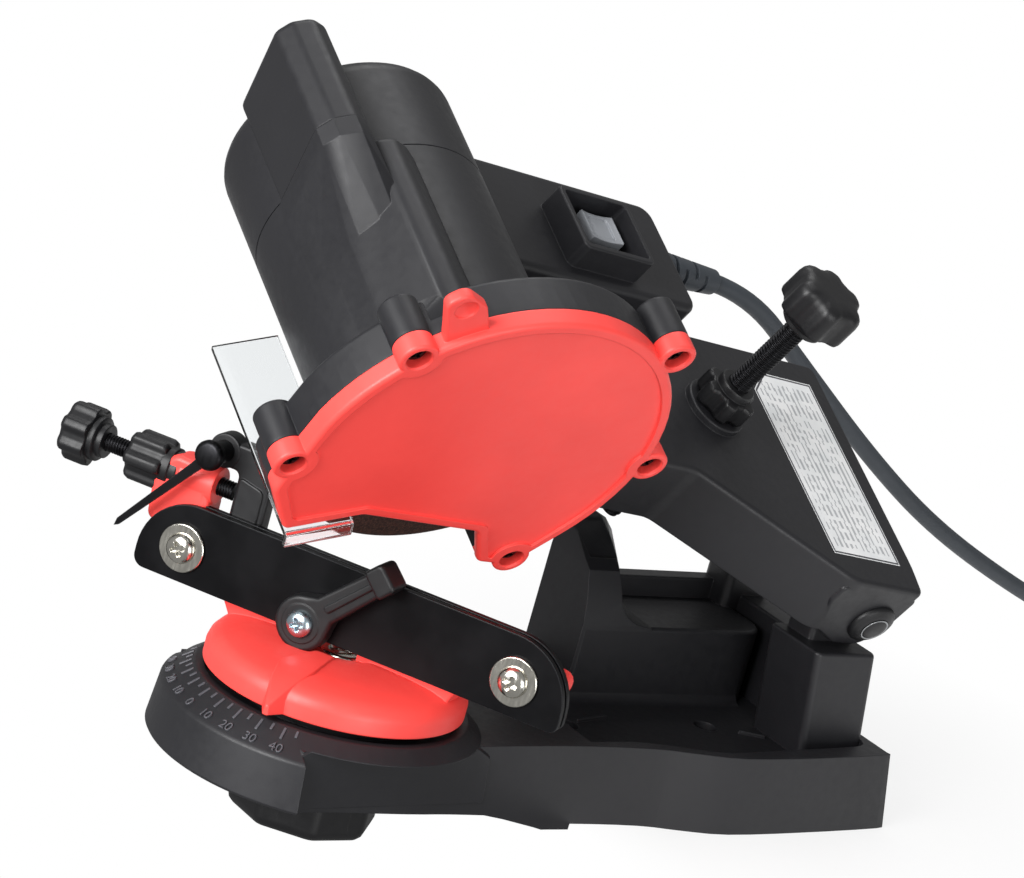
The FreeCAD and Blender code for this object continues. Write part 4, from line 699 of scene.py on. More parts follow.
def vitrified_abrasive():
    """Bonded aluminium oxide: brown grains of a few tenths of a millimetre, drawn as 0.5 mm to show."""
    tree, shader, place = new_finish("bonded_abrasive_brown")
    tone = paint("abrasive")
    grains = add(tree, "ShaderNodeTexVoronoi", {"Vector": place, "Scale": per_mm(0.5)}).outputs["Distance"]
    base = add(tree, RAMP, {"Fac": grains}, stops=[(0.1, scaled(tone, 2.1)), (0.6, scaled(tone, 0.7))])
    pores = add(tree, NOISE, {"Vector": place, "Scale": per_mm(0.9), "Detail": 4.0})
    dark = add(tree, RAMP, {"Fac": pores.outputs["Fac"]}, stops=[(0.4, grey(0.0)), (0.5, grey(1.0))])
    mixed = add(tree, MIX, {0: dark.outputs["Color"], 6: scaled(tone, 0.45), 7: base.outputs["Color"]},
                data_type="RGBA")
    tree.links.new(mixed.outputs[2], shader.inputs["Base Color"])
    bump = add(tree, BUMP, {"Height": grains, "Strength": 0.8, "Distance": 0.12 * MM})
    tree.links.new(bump.outputs["Normal"], shader.inputs["Normal"])
    shader.inputs["Roughness"].default_value = 0.85


def clear_polycarbonate():
    """Clear polycarbonate sheet: see-through, with hairline scratches."""
    tree, shader, place = new_finish("clear_polycarbonate")
    hair = add(tree, STRETCH, {"Vector": place, "Scale": (1.0, 0.05, 0.4), "Rotation": (0.5, 0.3, 0.2)})
    lines = add(tree, NOISE, {"Vector": hair.outputs["Vector"], "Scale": per_mm(0.6), "Detail": 2.0})
    gloss = add(tree, RAMP, {"Fac": lines.outputs["Fac"]}, stops=[(0.5, grey(0.02)), (0.75, grey(0.16))])
    tree.links.new(gloss.outputs["Color"], shader.inputs["Roughness"])
    shader.inputs["Base Color"].default_value = hue("#f6f9fa")
    shader.inputs["Transmission Weight"].default_value = 1.0
    shader.inputs["IOR"].default_value = 1.58


LABEL_MIDDLE = (-13, 63, 17.8)   # on the arm
LABEL_HALF = (13.6, 36)          # half of the printed field, across and along
PRINT_LINE = 1.35                # half the distance between two printed lines
PRINT_BLOCK = (370, 620, 0)      # printed blocks in a metre, across and along


def silver_label():
    """Silver polyester label: a satin face with rows of small plain printed blocks, and no words."""
    tree, shader, place = new_finish("silver_label_film")
    local = add(tree, STRETCH, {"Vector": place, "Location": HEAD @ (Vector(LABEL_MIDDLE) * MM),
                                "Rotation": HEAD.to_euler()}, vector_type="TEXTURE").outputs["Vector"]
    axes = add(tree, "ShaderNodeSeparateXYZ", {"Vector": local}).outputs
    rules = add(tree, MATHS, {0: axes["X"], 1: PRINT_LINE * MM}, operation="PINGPONG").outputs[0]
    ink = add(tree, MATHS, {0: rules, 1: 0.62 * MM}, operation="LESS_THAN").outputs[0]
    # Whole-number cells make each small block all ink or all blank
    cells = add(tree, STRETCH, {"Vector": local, "Scale": PRINT_BLOCK}).outputs[0]
    cells = add(tree, "ShaderNodeVectorMath", {0: cells}, operation="FLOOR").outputs[0]
    chance = add(tree, "ShaderNodeTexWhiteNoise", {"Vector": cells}).outputs["Value"]
    dense = add(tree, MATHS, {0: chance, 1: 0.62}, operation="LESS_THAN").outputs[0]
    ink = add(tree, MATHS, {0: ink, 1: dense}, operation="MULTIPLY").outputs[0]
    for axis, half in zip(("X", "Y"), LABEL_HALF):
        reach = add(tree, MATHS, {0: axes[axis]}, operation="ABSOLUTE").outputs[0]
        inside = add(tree, MATHS, {0: reach, 1: half * MM}, operation="LESS_THAN").outputs[0]
        ink = add(tree, MATHS, {0: ink, 1: inside}, operation="MULTIPLY").outputs[0]
    patches = add(tree, NOISE, {"Vector": place, "Scale": per_mm(9), "Detail": 2.0}).outputs["Fac"]
    base = add(tree, RAMP, {"Fac": patches}, stops=[(0.3, hue("#eceeef")), (0.7, hue("#f8f8f8"))])
    shade = add(tree, MATHS, {0: ink, 1: 0.8}, operation="MULTIPLY").outputs[0]
    mixed = add(tree, MIX, {0: shade, 6: base.outputs["Color"], 7: hue("#a2a4a8")}, data_type="RGBA")
    tree.links.new(mixed.outputs[2], shader.inputs["Base Color"])
    gloss = add(tree, RAMP, {"Fac": patches}, stops=[(0.3, grey(0.34)), (0.7, grey(0.42))])
    tree.links.new(gloss.outputs["Color"], shader.inputs["Roughness"])
    shader.inputs["Metallic"].default_value = 0.12


def make_finishes():
    """All finishes, named for what the real ones are."""
    # Housings: dark moulded ABS, satin, with the mould's fine grain
    moulded("moulded_abs_charcoal", paint("charcoal"), 0.46)
    # Cover and turntable: smoother moulded ABS in a clear red
    moulded("moulded_abs_red", paint("red"), 0.42, scuff=0.12, relief=0.02)
    # Scale and label border: the housing's plastic in a paler grey, its edges painted paler still as a
    # highlight
    moulded("moulded_abs_marks", hue("#4b4b50"), 0.4)
    # Knobs, lever and caps: nylon, blacker than the housings and coarser in grain
    moulded("moulded_nylon_black", hue("#111113"), 0.45, grain=0.6)
    # Rocker: polished grey plastic
    moulded("moulded_rocker_grey", paint("rocker"), 0.3, scuff=0.1, relief=0.012)
    # Cord, sleeve and plug: soft PVC, dull
    moulded("pvc_cord_grey", paint("cord"), 0.55, grain=0.7, relief=0.04, scuff=0.2)
    # Brush holders: pressed phenolic, brown
    moulded("bakelite_brown", hue("#4a2f22"), 0.4)
    # Brushes: pressed carbon, dull black
    moulded("carbon_brush_black", hue("#2b2b2e"), 0.6, grain=0.3)
    # Rail screws, washers and swivel bolt: bright nickel with a warm tint
    metal("nickel_plated_steel", "#d9d6cc", 0.2, line=0.4, depth=0.008)
    # Lever's screw: zinc plate with a blue tint
    metal("zinc_plated_steel", "#bfd0da", 0.24, line=0.5, depth=0.01)
    # Shafts, flanges and spring: plain turned steel
    metal("turned_steel", "#a4a6a8", 0.34, line=0.3, depth=0.012)
    # Threaded screws and pins: blackened, slightly shiny
    metal("black_oxide_steel", "#2a2a2c", 0.4, line=0.4, depth=0.01)
    # Rotor and stator: stacked sheets, lined across the shaft
    metal("laminated_steel", "#7c7e80", 0.45, lay=(1.0, 1.0, 0.1), line=0.5, depth=0.03)
    # Commutator: turned copper
    metal("copper_bars", "#b26a3e", 0.35, line=0.4)
    coated_steel()
    vitrified_abrasive()
    clear_polycarbonate()
    silver_label()


CARRIED = {
    "label_plate": "silver_label_film", "swivel_washer": "turned_steel", "pivot_shaft": "turned_steel",
    "inner_flange": "turned_steel", "outer_flange": "turned_steel", "disc_nut": "turned_steel",
    "rotor_shaft": "turned_steel", "bearings": "turned_steel", "rotor_core": "laminated_steel",
    "stator": "laminated_steel", "commutator": "copper_bars", "brush_holders": "bakelite_brown",
    "brushes": "carbon_brush_black", "cooling_fan": "moulded_nylon_black", "box_lid": "moulded_abs_charcoal",
    "switch_body": "moulded_nylon_black", "grinding_disc": "bonded_abrasive_brown",
}


# ---------------------------------------------------------------- pieces

SKIN = 2.6                       # wall of the head's mouldings
SEAT_R, BEARING_R = 13.6, 11     # bearing seats of the motor, outside and inside
PILOT_R = 1.7                    # screw holes in the eyes
BOLT_R = 4.25                    # holes for the bench bolts

# Screw eyes of the disc cover
EYES = [(-58.6, -18), (-50.7, 33.3), (35.5, 57), (65.2, 11.8), (49.5, -39.8)]
# Deck edge and foot of the base walls, from the round front to the rear
NEAR_SIDE = [(-160, -38.5), (-142, -36.8), (-113, -35.6), (-96, -34), (-72, -32.8), (-46, -32.5),
             (-19, -34.4), (-4, -38), (14, -41.5), (47, -40.5), (79, -37.4), (81.5, -35.5)]
NEAR_FOOT = [(-160, -39.8), (-142, -38.2), (-113, -37), (-96, -35.4), (-72, -34.2), (-46, -33.8),
             (-19, -35.7), (-4, -39.5), (14, -42.9), (47, -41.9), (84.5, -39.1), (87, -37)]
FAR_SIDE = [(81.5, 53), (78, 56.6), (40, 57), (6, 56.6), (-14, 54), (-46, 46), (-72, 43.5), (-110, 40),
            (-160, 38.5)]


# The camera's place in metres, its axes as columns, and its lens and sensor in millimetres
CAMERA_PLACE = (-0.7653, -0.8600, 0.4067)
CAMERA_AXES = ((0.7977, -0.0582, -0.6002), (-0.5443, 0.3589, -0.7582), (0.2595, 0.9316, 0.2546))
CAMERA_LENS, CAMERA_SENSOR = 126.6, 36.0
BENCH_SIZE, BENCH_FRONT = 6.0, -0.0457      # metres
LAMPS = (                        # name, watts, size, place and aim in metres
    ("key", 34.0, 0.9, (-1.3, -0.3, 0.6), (-0.05, 0, 0.1)),
    ("fill", 9.0, 0.7, (-0.2, -1.4, 0.1), (-0.05, 0, 0.15)),
    ("top", 7.0, 0.8, (0.2, 0.5, 1.4), (-0.05, 0, 0.1)),
)


class BuildFinishes(bpy.types.Operator):
    """Materials of all pieces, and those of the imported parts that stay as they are"""
    bl_idname = "sharpener.finishes"
    bl_label = "Finishes"

    def execute(self, context):
        make_finishes()
        for node, finish in CARRIED.items():
            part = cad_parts[node]
            part.data.materials.clear()
            part.data.materials.append(bpy.data.materials[finish])
        return {"FINISHED"}


class BuildStage(bpy.types.Operator):
    """Bench top, pale surroundings, soft lamps and the camera"""
    bl_idname = "sharpener.stage"
    bl_label = "Bench, lamps and camera"

    def execute(self, context):
        deselect()
        bpy.ops.object.camera_add(location=CAMERA_PLACE)
        camera = bpy.context.object
        camera.rotation_euler = Matrix(CAMERA_AXES).to_euler()
        camera.data.lens = CAMERA_LENS
        camera.data.sensor_width = CAMERA_SENSOR
        camera.data.clip_start = 0.05
        camera.data.clip_end = 20.0
        context.scene.camera = camera
        bpy.ops.mesh.primitive_plane_add(size=BENCH_SIZE, location=(BENCH_SIZE / 2 + BENCH_FRONT, 0, 0))
        bench = bpy.context.object
        bench.name = "bench_top"
        apply_place(bench)
        self.cover(bench)
        self.surround(context.scene)
        for name, power, size, place, aim in LAMPS:
            bpy.ops.object.light_add(type="AREA", location=place)
            lamp = bpy.context.object
            lamp.name = name
            lamp.data.energy = power
            lamp.data.size = size
            lamp.rotation_euler = (Vector(aim) - Vector(place)).to_track_quat("-Z", "Y").to_euler()
        context.scene.view_settings.view_transform = "Standard"
        return {"FINISHED"}

    def cover(self, bench):
        """Pale painted board: white to the camera, and it keeps a soft shadow."""
        tree, shader, place = new_finish("painted_board_pale")
        specks = add(tree, NOISE, {"Vector": place, "Scale": per_mm(6), "Detail": 4.0})
        tone = add(tree, RAMP, {"Fac": specks.outputs["Fac"]},
                   stops=[(0.3, scaled(paint("floor"), 0.97)), (0.7, paint("floor"))])
        tree.links.new(tone.outputs["Color"], shader.inputs["Base Color"])
        shader.inputs["Roughness"].default_value = 0.7
        path = add(tree, "ShaderNodeLightPath").outputs
        seen = add(tree, MATHS, {0: path["Is Camera Ray"], 1: path["Is Glossy Ray"]},
                   operation="MAXIMUM").outputs[0]
        seen = add(tree, MATHS, {0: seen, 1: path["Is Transmission Ray"]}, operation="MAXIMUM").outputs[0]
        # The glow is full away from the object and at the board's front edge, and keeps the shadow between
        away = add(tree, "ShaderNodeVectorMath", {0: place, 1: (0.06, 0.02, 0)}, operation="DISTANCE")
        faded = add(tree, "ShaderNodeMapRange", {"Value": away.outputs["Value"], "From Min": 0.07,
                                                 "From Max": 0.2, "To Min": 0.8, "To Max": 1.0}).outputs[0]
        axes = add(tree, "ShaderNodeSeparateXYZ", {"Vector": place}).outputs
        edge = add(tree, "ShaderNodeMapRange", {"Value": axes["X"], "From Min": -0.045, "From Max": 0.0,
                                                "To Min": 1.0, "To Max": 0.8}).outputs[0]
        clear = add(tree, MATHS, {0: faded, 1: edge}, operation="MAXIMUM").outputs[0]
        share = add(tree, MATHS, {0: seen, 1: clear}, operation="MULTIPLY").outputs[0]
        glow = add(tree, "ShaderNodeEmission", {"Color": grey(1.0), "Strength": 1.0}).outputs[0]
        both = add(tree, "ShaderNodeMixShader", {0: share, 1: shader.outputs[0], 2: glow})
        tree.links.new(both.outputs[0], tree.nodes["Material Output"].inputs["Surface"])
        bench.data.materials.append(bpy.data.materials["painted_board_pale"])

    def surround(self, scene):
        """White to the eye and in reflections, and softer as light."""
        world = bpy.data.worlds.new("studio")
        scene.world = world
        world.use_nodes = True
        tree = world.node_tree
        path = add(tree, "ShaderNodeLightPath").outputs
        seen = add(tree, MATHS, {0: path["Is Camera Ray"], 1: path["Is Transmission Ray"]},
                   operation="MAXIMUM")
        strength = add(tree, "ShaderNodeMapRange", {"Value": seen.outputs[0], "To Min": 0.3, "To Max": 1.0})
        tree.links.new(strength.outputs[0], tree.nodes["Background"].inputs["Strength"])
        tree.nodes["Background"].inputs["Color"].default_value = grey(1.0)


CORD_ROUTE = [(60.5, 74.2, 152.4), (96, 78, 128), (145, 81, 94), (190, 83, 67), (246, 86, 43),
              (298, 88.5, 25), (343, 88.5, 12), (380, 87.4, 5.2), (408, 86.6, 3.4)]
CORD_TAIL = [(446, 90.6, 16.4), (455, 92.4, 15.6), (466, 91.6, 14.4), (477, 87, 13.2),
             (484.6, 78.6, 12.2), (488.2, 69.5, 11.6), (488.4, 64, 11.5)]
COIL_MIDDLE = (432, 45)
COIL_START, COIL_STEPS = 100, 16            # first angle, and points in a turn
PLUG_X, PLUG_Z = 488.4, 11.5


class BuildCord(bpy.types.Operator):
    """Mains cord with its coil and plug"""
    bl_idname = "sharpener.cord"
    bl_label = "Mains cord"

    def execute(self, context):
        c = sizes("sharpener_cord")
        leave = RELIEF @ (Vector((28, 0, 0)) * MM)
        points = [tuple(leave / MM)] + CORD_ROUTE + self.turns(c) + CORD_TAIL
        deselect()
        bpy.ops.curve.primitive_nurbs_path_add()
        line = bpy.context.object
        line.data.splines.clear()
        spline = line.data.splines.new("NURBS")
        spline.points.add(len(points) - 1)
        for point, where in zip(spline.points, points):
            point.co = (*(Vector(where) * MM), 1.0)
        spline.order_u = 3
        spline.use_endpoint_u = True
        spline.resolution_u = 8
        bpy.context.view_layer.update()
        path = [tuple(v.co) for v in bpy.data.meshes.new_from_object(line).vertices]
        line.data.bevel_depth = c.radius * MM
        line.data.bevel_resolution = 5
        line.data.use_fill_caps = True
        line.location = (0, 0, 0)
        line.name = line.data.name = "mains_cord"
        line.data.materials.append(bpy.data.materials["pvc_cord_grey"])
        only(line)
        bpy.ops.object.convert(target="MESH")
        line = bpy.context.object
        edit(line)
        finish_edit(line)
        bpy.ops.object.shade_smooth_by_angle(angle=math.radians(50))
        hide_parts("cord", "cord_coil")
        plug = self.plug()
        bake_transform(line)
        return {"FINISHED"}

    def turns(self, c):
        """Control points of the coil: three layers, wound clockwise as seen from above."""
        columns = [c.turn_r + 6.9, c.turn_r + 0.1, c.turn_r - 6.7]
        places = [(3.35, r) for r in columns] + [(10.0, r) for r in columns[::-1]] + [(16.6, columns[0])]
        points = []
        for step in range(len(places) * COIL_STEPS + 1):
            height, radius = places[min(step // COIL_STEPS, len(places) - 1)]
            angle = math.radians(COIL_START - 360 * step / COIL_STEPS)
            points.append((COIL_MIDDLE[0] + radius * math.cos(angle),
                           COIL_MIDDLE[1] + radius * math.sin(angle), height))
        return points

    def plug(self):
        """Moulded plug with grip ribs, a sleeve and two round pins."""
        body = lathe("XZ", [(0, 65), (4.2, 65), (4.6, 60), (4.1, 59.4), (4.1, 58.4), (5.2, 58), (5.4, 55),
                            (4.8, 54.4), (4.8, 53.4), (6.4, 52.8), (8.6, 49), (10.6, 44), (11.4, 38),
                            (11.4, 33), (10.7, 32.4), (10.7, 31), (11.4, 30.4), (11.4, 28), (10.7, 27.4),
                            (10.7, 26), (11.4, 25.4), (11.4, 18.5), (10.4, 17), (0, 17)],
                     x=PLUG_X, y=PLUG_Z, sides=48)
        for side in (-1, 1):
            pin = lathe("XZ", [(0, -2), (1.5, -2), (2.3, -0.8), (2.35, 17.5), (0, 17.5)],
                        x=PLUG_X + 8.4 * side, y=PLUG_Z, sides=24)
            body = fuse(body, pin)
        return settle(body, "mains_plug", BASE, "pvc_cord_grey", "base", "cord_rubber", "plug")


class BuildBase(bpy.types.Operator):
    """Moulded base: round front with its angle scale, tray, block, tower and bearing posts"""
    bl_idname = "sharpener.base"
    bl_label = "Base housing"

    def execute(self, context):
        b = sizes("sharpener_base")
        body = self.walls(b)
        fuse(body, self.drum(b))
        cut(body, self.cavity(b, -3, 17))
        cut(body, self.tray(b))
        fuse(body, *self.block(b), *self.posts(b))
        fuse(body, rod("XY", -b.swivel, 0, 11, b.foot_z, 26))
        cut(body, rod("XY", -b.swivel, 0, HOLE_10, -3, 40))
        for side in (-1, 1):
            bolt = b.bolt_pitch / 2 * side
            fuse(body, rod("XY", bolt, 0, 9, 0.02, b.floor_z - 0.5))
            cut(body, rod("XY", bolt, 0, BOLT_R, -1, 30))
        for path in ([(-24.7, 1.9), (-9.8, 5.5)], [(40.4, -5.4), (49, -9.5)]):
            fuse(body, self.rib(path, 1.2, b.floor_z - 1, b.floor_z + 1.2))
        cut(body, *self.shaft_room())
        settle(body, "base_housing_moulding", BASE, "moulded_abs_charcoal", "base", "black_plastic",
               "base_housing", smooth=32)
        self.scale(b)
        return {"FINISHED"}

    def walls(self, b):
        """Outer walls with their draft, cut to the waved lower edge and the hooked lip."""
        top = flowing(NEAR_SIDE, 3) + flowing(FAR_SIDE, 3)
        far_foot = [(x + (5 if x > 70 else 0), y) for x, y in FAR_SIDE]
        foot = flowing(NEAR_FOOT, 3) + flowing(far_foot, 3)
        body = loft("XY", [(-3, foot), (b.deck_z, top)])
        side = [(-162, 7.3), (-111, 5), (-82, 3.5), (-74, 2), (-60, -1.2), (-57, -2), (-46, -2), (-45.9, 0),
                (90, 0), (90, b.deck_z), (-162, b.deck_z)]
        common(body, prism("XZ", side, -70, 70))
        return soften(body, 0.9, 3, 50)

    def drum(self, b):
        """Round front: drafted wall, rounded shoulder, sloped scale and the turntable's seat."""
        drum = lathe("XY", [(0, b.foot_z), (b.foot_r - 0.6, b.foot_z), (b.foot_r, b.foot_z + 0.8),
                            (b.drum_r + 0.1, b.edge_z - 0.9), (b.drum_r - 0.2, b.edge_z - 0.2),
                            (b.drum_r - 0.9, b.edge_z + 0.5), (b.scale_r + 0.6, b.scale_z - 0.2),
                            (b.scale_r - 0.2, b.scale_z), (b.scale_r - 2.6, b.scale_z),
                            (b.scale_r - 3, b.scale_z - 0.5), (b.scale_r - 3, b.deck_z), (30, b.deck_z),
                            (30, 32.7), (0, 32.7)], x=-b.swivel, sides=128)
        for side in (-1, 1):
            cut(drum, prism("XY", [(-160, 39 * side), (-55, 33.5 * side), (-55, 66 * side),
                                   (-160, 66 * side)], -3, 26.99))
        return drum

    def cavity(self, b, low, high):
        """Room under the deck, open below."""
        wall = b.wall
        near = [(x, y + wall) for x, y in NEAR_SIDE[1:-2]]
        far = [(x, y - wall) for x, y in FAR_SIDE[2:-1]]
        room = prism("XY", [(76, -34)] + near[::-1] + [(-157, -32), (-157, 32)] + far[::-1] + [(77, 53)],
                     low, high)
        return cut(room, prism("XY", rectangle(-59, -46 + wall, -60, 60), low - 1, high + 1))

    def tray(self, b):
        """Open tray with a softly rounded inner rim."""
        near = [(-43, -29.3), (-24, -28.9), (-8, -32.5), (9, -36.8), (34, -34.6), (60, -32.2), (74, -30),
                (77.6, -26)]
        outline = flowing(near, 3) + [(77.9, 50), (74, 53.9), (10, 54), (-10, 52), (-43, 42.5)]
        return prism("XY", outline, b.floor_z, b.deck_z + 5)

    def rib(self, path, wide, low, high):
        """Low rib along a straight line."""
        (x0, y0), (x1, y1) = path
        along = (Vector((x1, y1)) - Vector((x0, y0))).normalized() * wide / 2
        across = Vector((-along.y, along.x))
        outline = [(x0 - across.x, y0 - across.y), (x1 - across.x, y1 - across.y),
                   (x1 + across.x, y1 + across.y), (x0 + across.x, y0 + across.y)]
        return prism("XY", outline, low, high, bevel=0.4, ends="high")

    def block(self, b):
        """Raised block with its rounded corner, and the depth-stop tower that grows out of it."""
        block = prism("XY", rounded([(-18, 20, 2), (65, 20, 10), (65, 56.9, 2), (-4, 56.9, 3),
                                     (-18, 47, 2)], 5), 18, b.block_z, bevel=1.4, ends="high")
        back = prism("XY", rounded([(2, 50, 1.5), (65, 50, 3), (65, 56.9, 1), (2, 56.9, 1)], 3), 40, 54.5,
                     bevel=1.2, ends="high")
        front = [(-18, 30), (-18, 62), (-17.6, 66), (-16, 69), (-13.4, 70), (-10.4, 68.6), (-7.4, 64.6),
                 (-5, 59.4), (-3.2, 54.6), (-0.2, 50.8), (4.6, 48.2), (10, 47.2), (12, 47), (12, 30)]
        rear = [(-18, 30), (-18, 66), (-17.4, 72), (-14.6, 76.6), (-10, 78.4), (-3, 78.4), (2, 76.2), (6, 72),
                (8.6, 66), (9.4, 58), (10.2, 52), (11.4, 48.4), (12, 47), (12, 30)]
        tower = loft("XZ", [(20.1, front), (48, rear)])
        side = [(20, 30), (20, 47), (21.6, 56), (25, 65.4), (28.5, 67.7), (47.8, 78.4), (48, 30)]
        common(tower, prism("YZ", side, -30, 30))
        soften(tower, 1.4, 4, 38)
        dish = prism("YZ", [(29.5, 66.9), (46.5, 76.2), (46.5, 82), (29.5, 82)], -15.2, -1.2)
        round_edges(dish, lambda a, b: abs(a.x - b.x) > 5, 1.2, 3)
        cut(tower, dish)
        return [block, back, tower, self.fillet(b)]

    def fillet(self, b):
        """Concave foot between the block's near face and the tray floor."""
        top = b.floor_z + 5
        profile = [(20.5, top - 6), (20.5, top)] + arc(15.5, top, 5, 0, -90, 6)[1:] + [(15.5, top - 6)]
        return prism("YZ", profile, -17.5, 58)

    def posts(self, b):
        """Two bearing posts with their round bosses on the pivot shaft."""
        low = rounded([(52, -25.9, 2.5), (80, -25.9, 3), (80, 2, 2.5), (52, 2, 2.5)], 4)
        high = rounded([(46.5, -25.3, 2.5), (73.6, -25.3, 3), (73.6, 2, 2.5), (46.5, 2, 2.5)], 4)
        near = loft("XY", [(18, low), (b.post_z + 3.5, high)])
        soften(near, 1.2, 3, 60)
        neck = prism("XY", pad(52, 72, -13.8, 0, 2), 50, 72)
        far = prism("XY", pad(60, 80, 42, 56.9, 3, 4), 18, 106, bevel=2, ends="high")
        clip = prism("XZ", rounded([(73, 49, 0.5), (77, 49.4, 0.6), (76.6, 54.6, 0.8), (72, 54.6, 0.5)], 2),
                     -21, -17, bevel=0.4)
        web = prism("XY", pad(67, 78, -2, 46, 1, 2), 18, 52, bevel=1, ends="high")
        bosses = [placed(rod("XZ", 0, 0, 13, start, start + 15.5, bevel=0.8), HEAD) for start in (18.5, 88)]
        return [near, neck, far, web, clip, *bosses]

    def shaft_room(self):
        """Room for the shaft and its spring through both posts."""
        return [placed(rod("XZ", 0, 0, 11, 34, 88), HEAD), placed(rod("XZ", 0, 0, HOLE_10, 9, 115.5), HEAD)]

    def scale(self, b):
        """Raised strokes every five degrees and plain numbers on the sloped ring."""
        slope = math.degrees(math.atan2(b.scale_z - b.edge_z, b.drum_r - b.scale_r))
        marks = []
        for k in range(-9, 10):
            tall = 4.2 if k % 2 == 0 else 2.4
            deselect()
            bpy.ops.mesh.primitive_cube_add(size=MM, scale=(tall, 0.8, 0.7))
            marks.append((bpy.context.object, k * 5, b.scale_r + 0.6 + tall / 2))
        for k in range(-4, 5):
            deselect()
            bpy.ops.object.text_add()
            text = bpy.context.object
            text.data.body = str(abs(k) * 10)
            text.data.size = 4.4 * MM
            text.data.extrude = 0.35 * MM
            text.data.align_x, text.data.align_y = "CENTER", "CENTER"
            text.rotation_euler = (0, 0, math.radians(90))
            bpy.ops.object.convert(target="MESH")
            apply_place(bpy.context.object)
            marks.append((bpy.context.object, k * 10, b.scale_r + 7.2))
        for mark, angle, radius in marks:
            place = turned(SWIVEL, "Z", 180 + angle)
            height = b.scale_z - (radius - b.scale_r) * math.tan(math.radians(slope))
            placed(mark, turned(moved(place, radius, 0, height + 0.1), "Y", slope))
        strip = joined(*[mark[0] for mark in marks])
        edit(strip)
        finish_edit(strip)
        settle(strip, "angle_scale_marks", BASE, "moulded_abs_marks", "base", "black_plastic")


class BuildSwivel(bpy.types.Operator):
    """Swivel bolt and the faceted knob under the round front"""
    bl_idname = "sharpener.swivel"
    bl_label = "Swivel bolt and knob"

    def execute(self, context):
        b = sizes("sharpener_base")
        bolt = lathe("XY", [(0, -9), (4.4, -9), (5, -8.2), (5, 42.2), (7, 42.2), (7.2, 42.5), (7.2, 43.8),
                            (6.8, 44.3), (5.9, 44.6), (4.8, 44.3), (4.4, 43.4), (3.8, 43.1), (0, 43.1)])
        cut(bolt, prism("XY", pad(-4.1, 4.1, -0.7, 0.7, 0.3, 2), 42.2, 46))
        settle(bolt, "swivel_bolt_turned", SWIVEL, "nickel_plated_steel", "vise", "bright_steel",
               "swivel_bolt")
        flats = [(x, y, 5) for x, y in arc(0, 0, b.knob_r, 22.5, 337.5, 7)]
        knob = stack("XY", rounded(flats, 4), [(-12, 0.86), (-11.5, 0.92), (-10.2, 0.975), (-8.2, 1.0),
                                               (5.0, 1.0), (6.1, 0.975), (6.7, 0.93)])
        for k in range(8):
            groove = prism("XY", rectangle(-0.4, 0.4, -3, 3), -8, 4.5, bevel=0.2)
            cut(knob, placed(groove, moved(turned(BASE, "Z", 45 * k), 23)))
        cut(knob, rod("XY", 0, 0, HOLE_10, -9.3, 8))
        cut(knob, lathe("XY", [(14, -13), (17, -13), (17, -11.2), (14, -11.2)], closed=True))
        settle(knob, "swivel_knob_moulded", SWIVEL, "moulded_nylon_black", "knob", "black_plastic",
               "swivel_knob")
        return {"FINISHED"}


def rail_holes(v):
    """Screw holes through both rails and the wall behind them."""
    half = v.screw_pitch / 2
    return [(SCREWS_X - half, v.screw_z), (SCREWS_X + half, v.screw_z), (CAM_X, CAM_Z)]


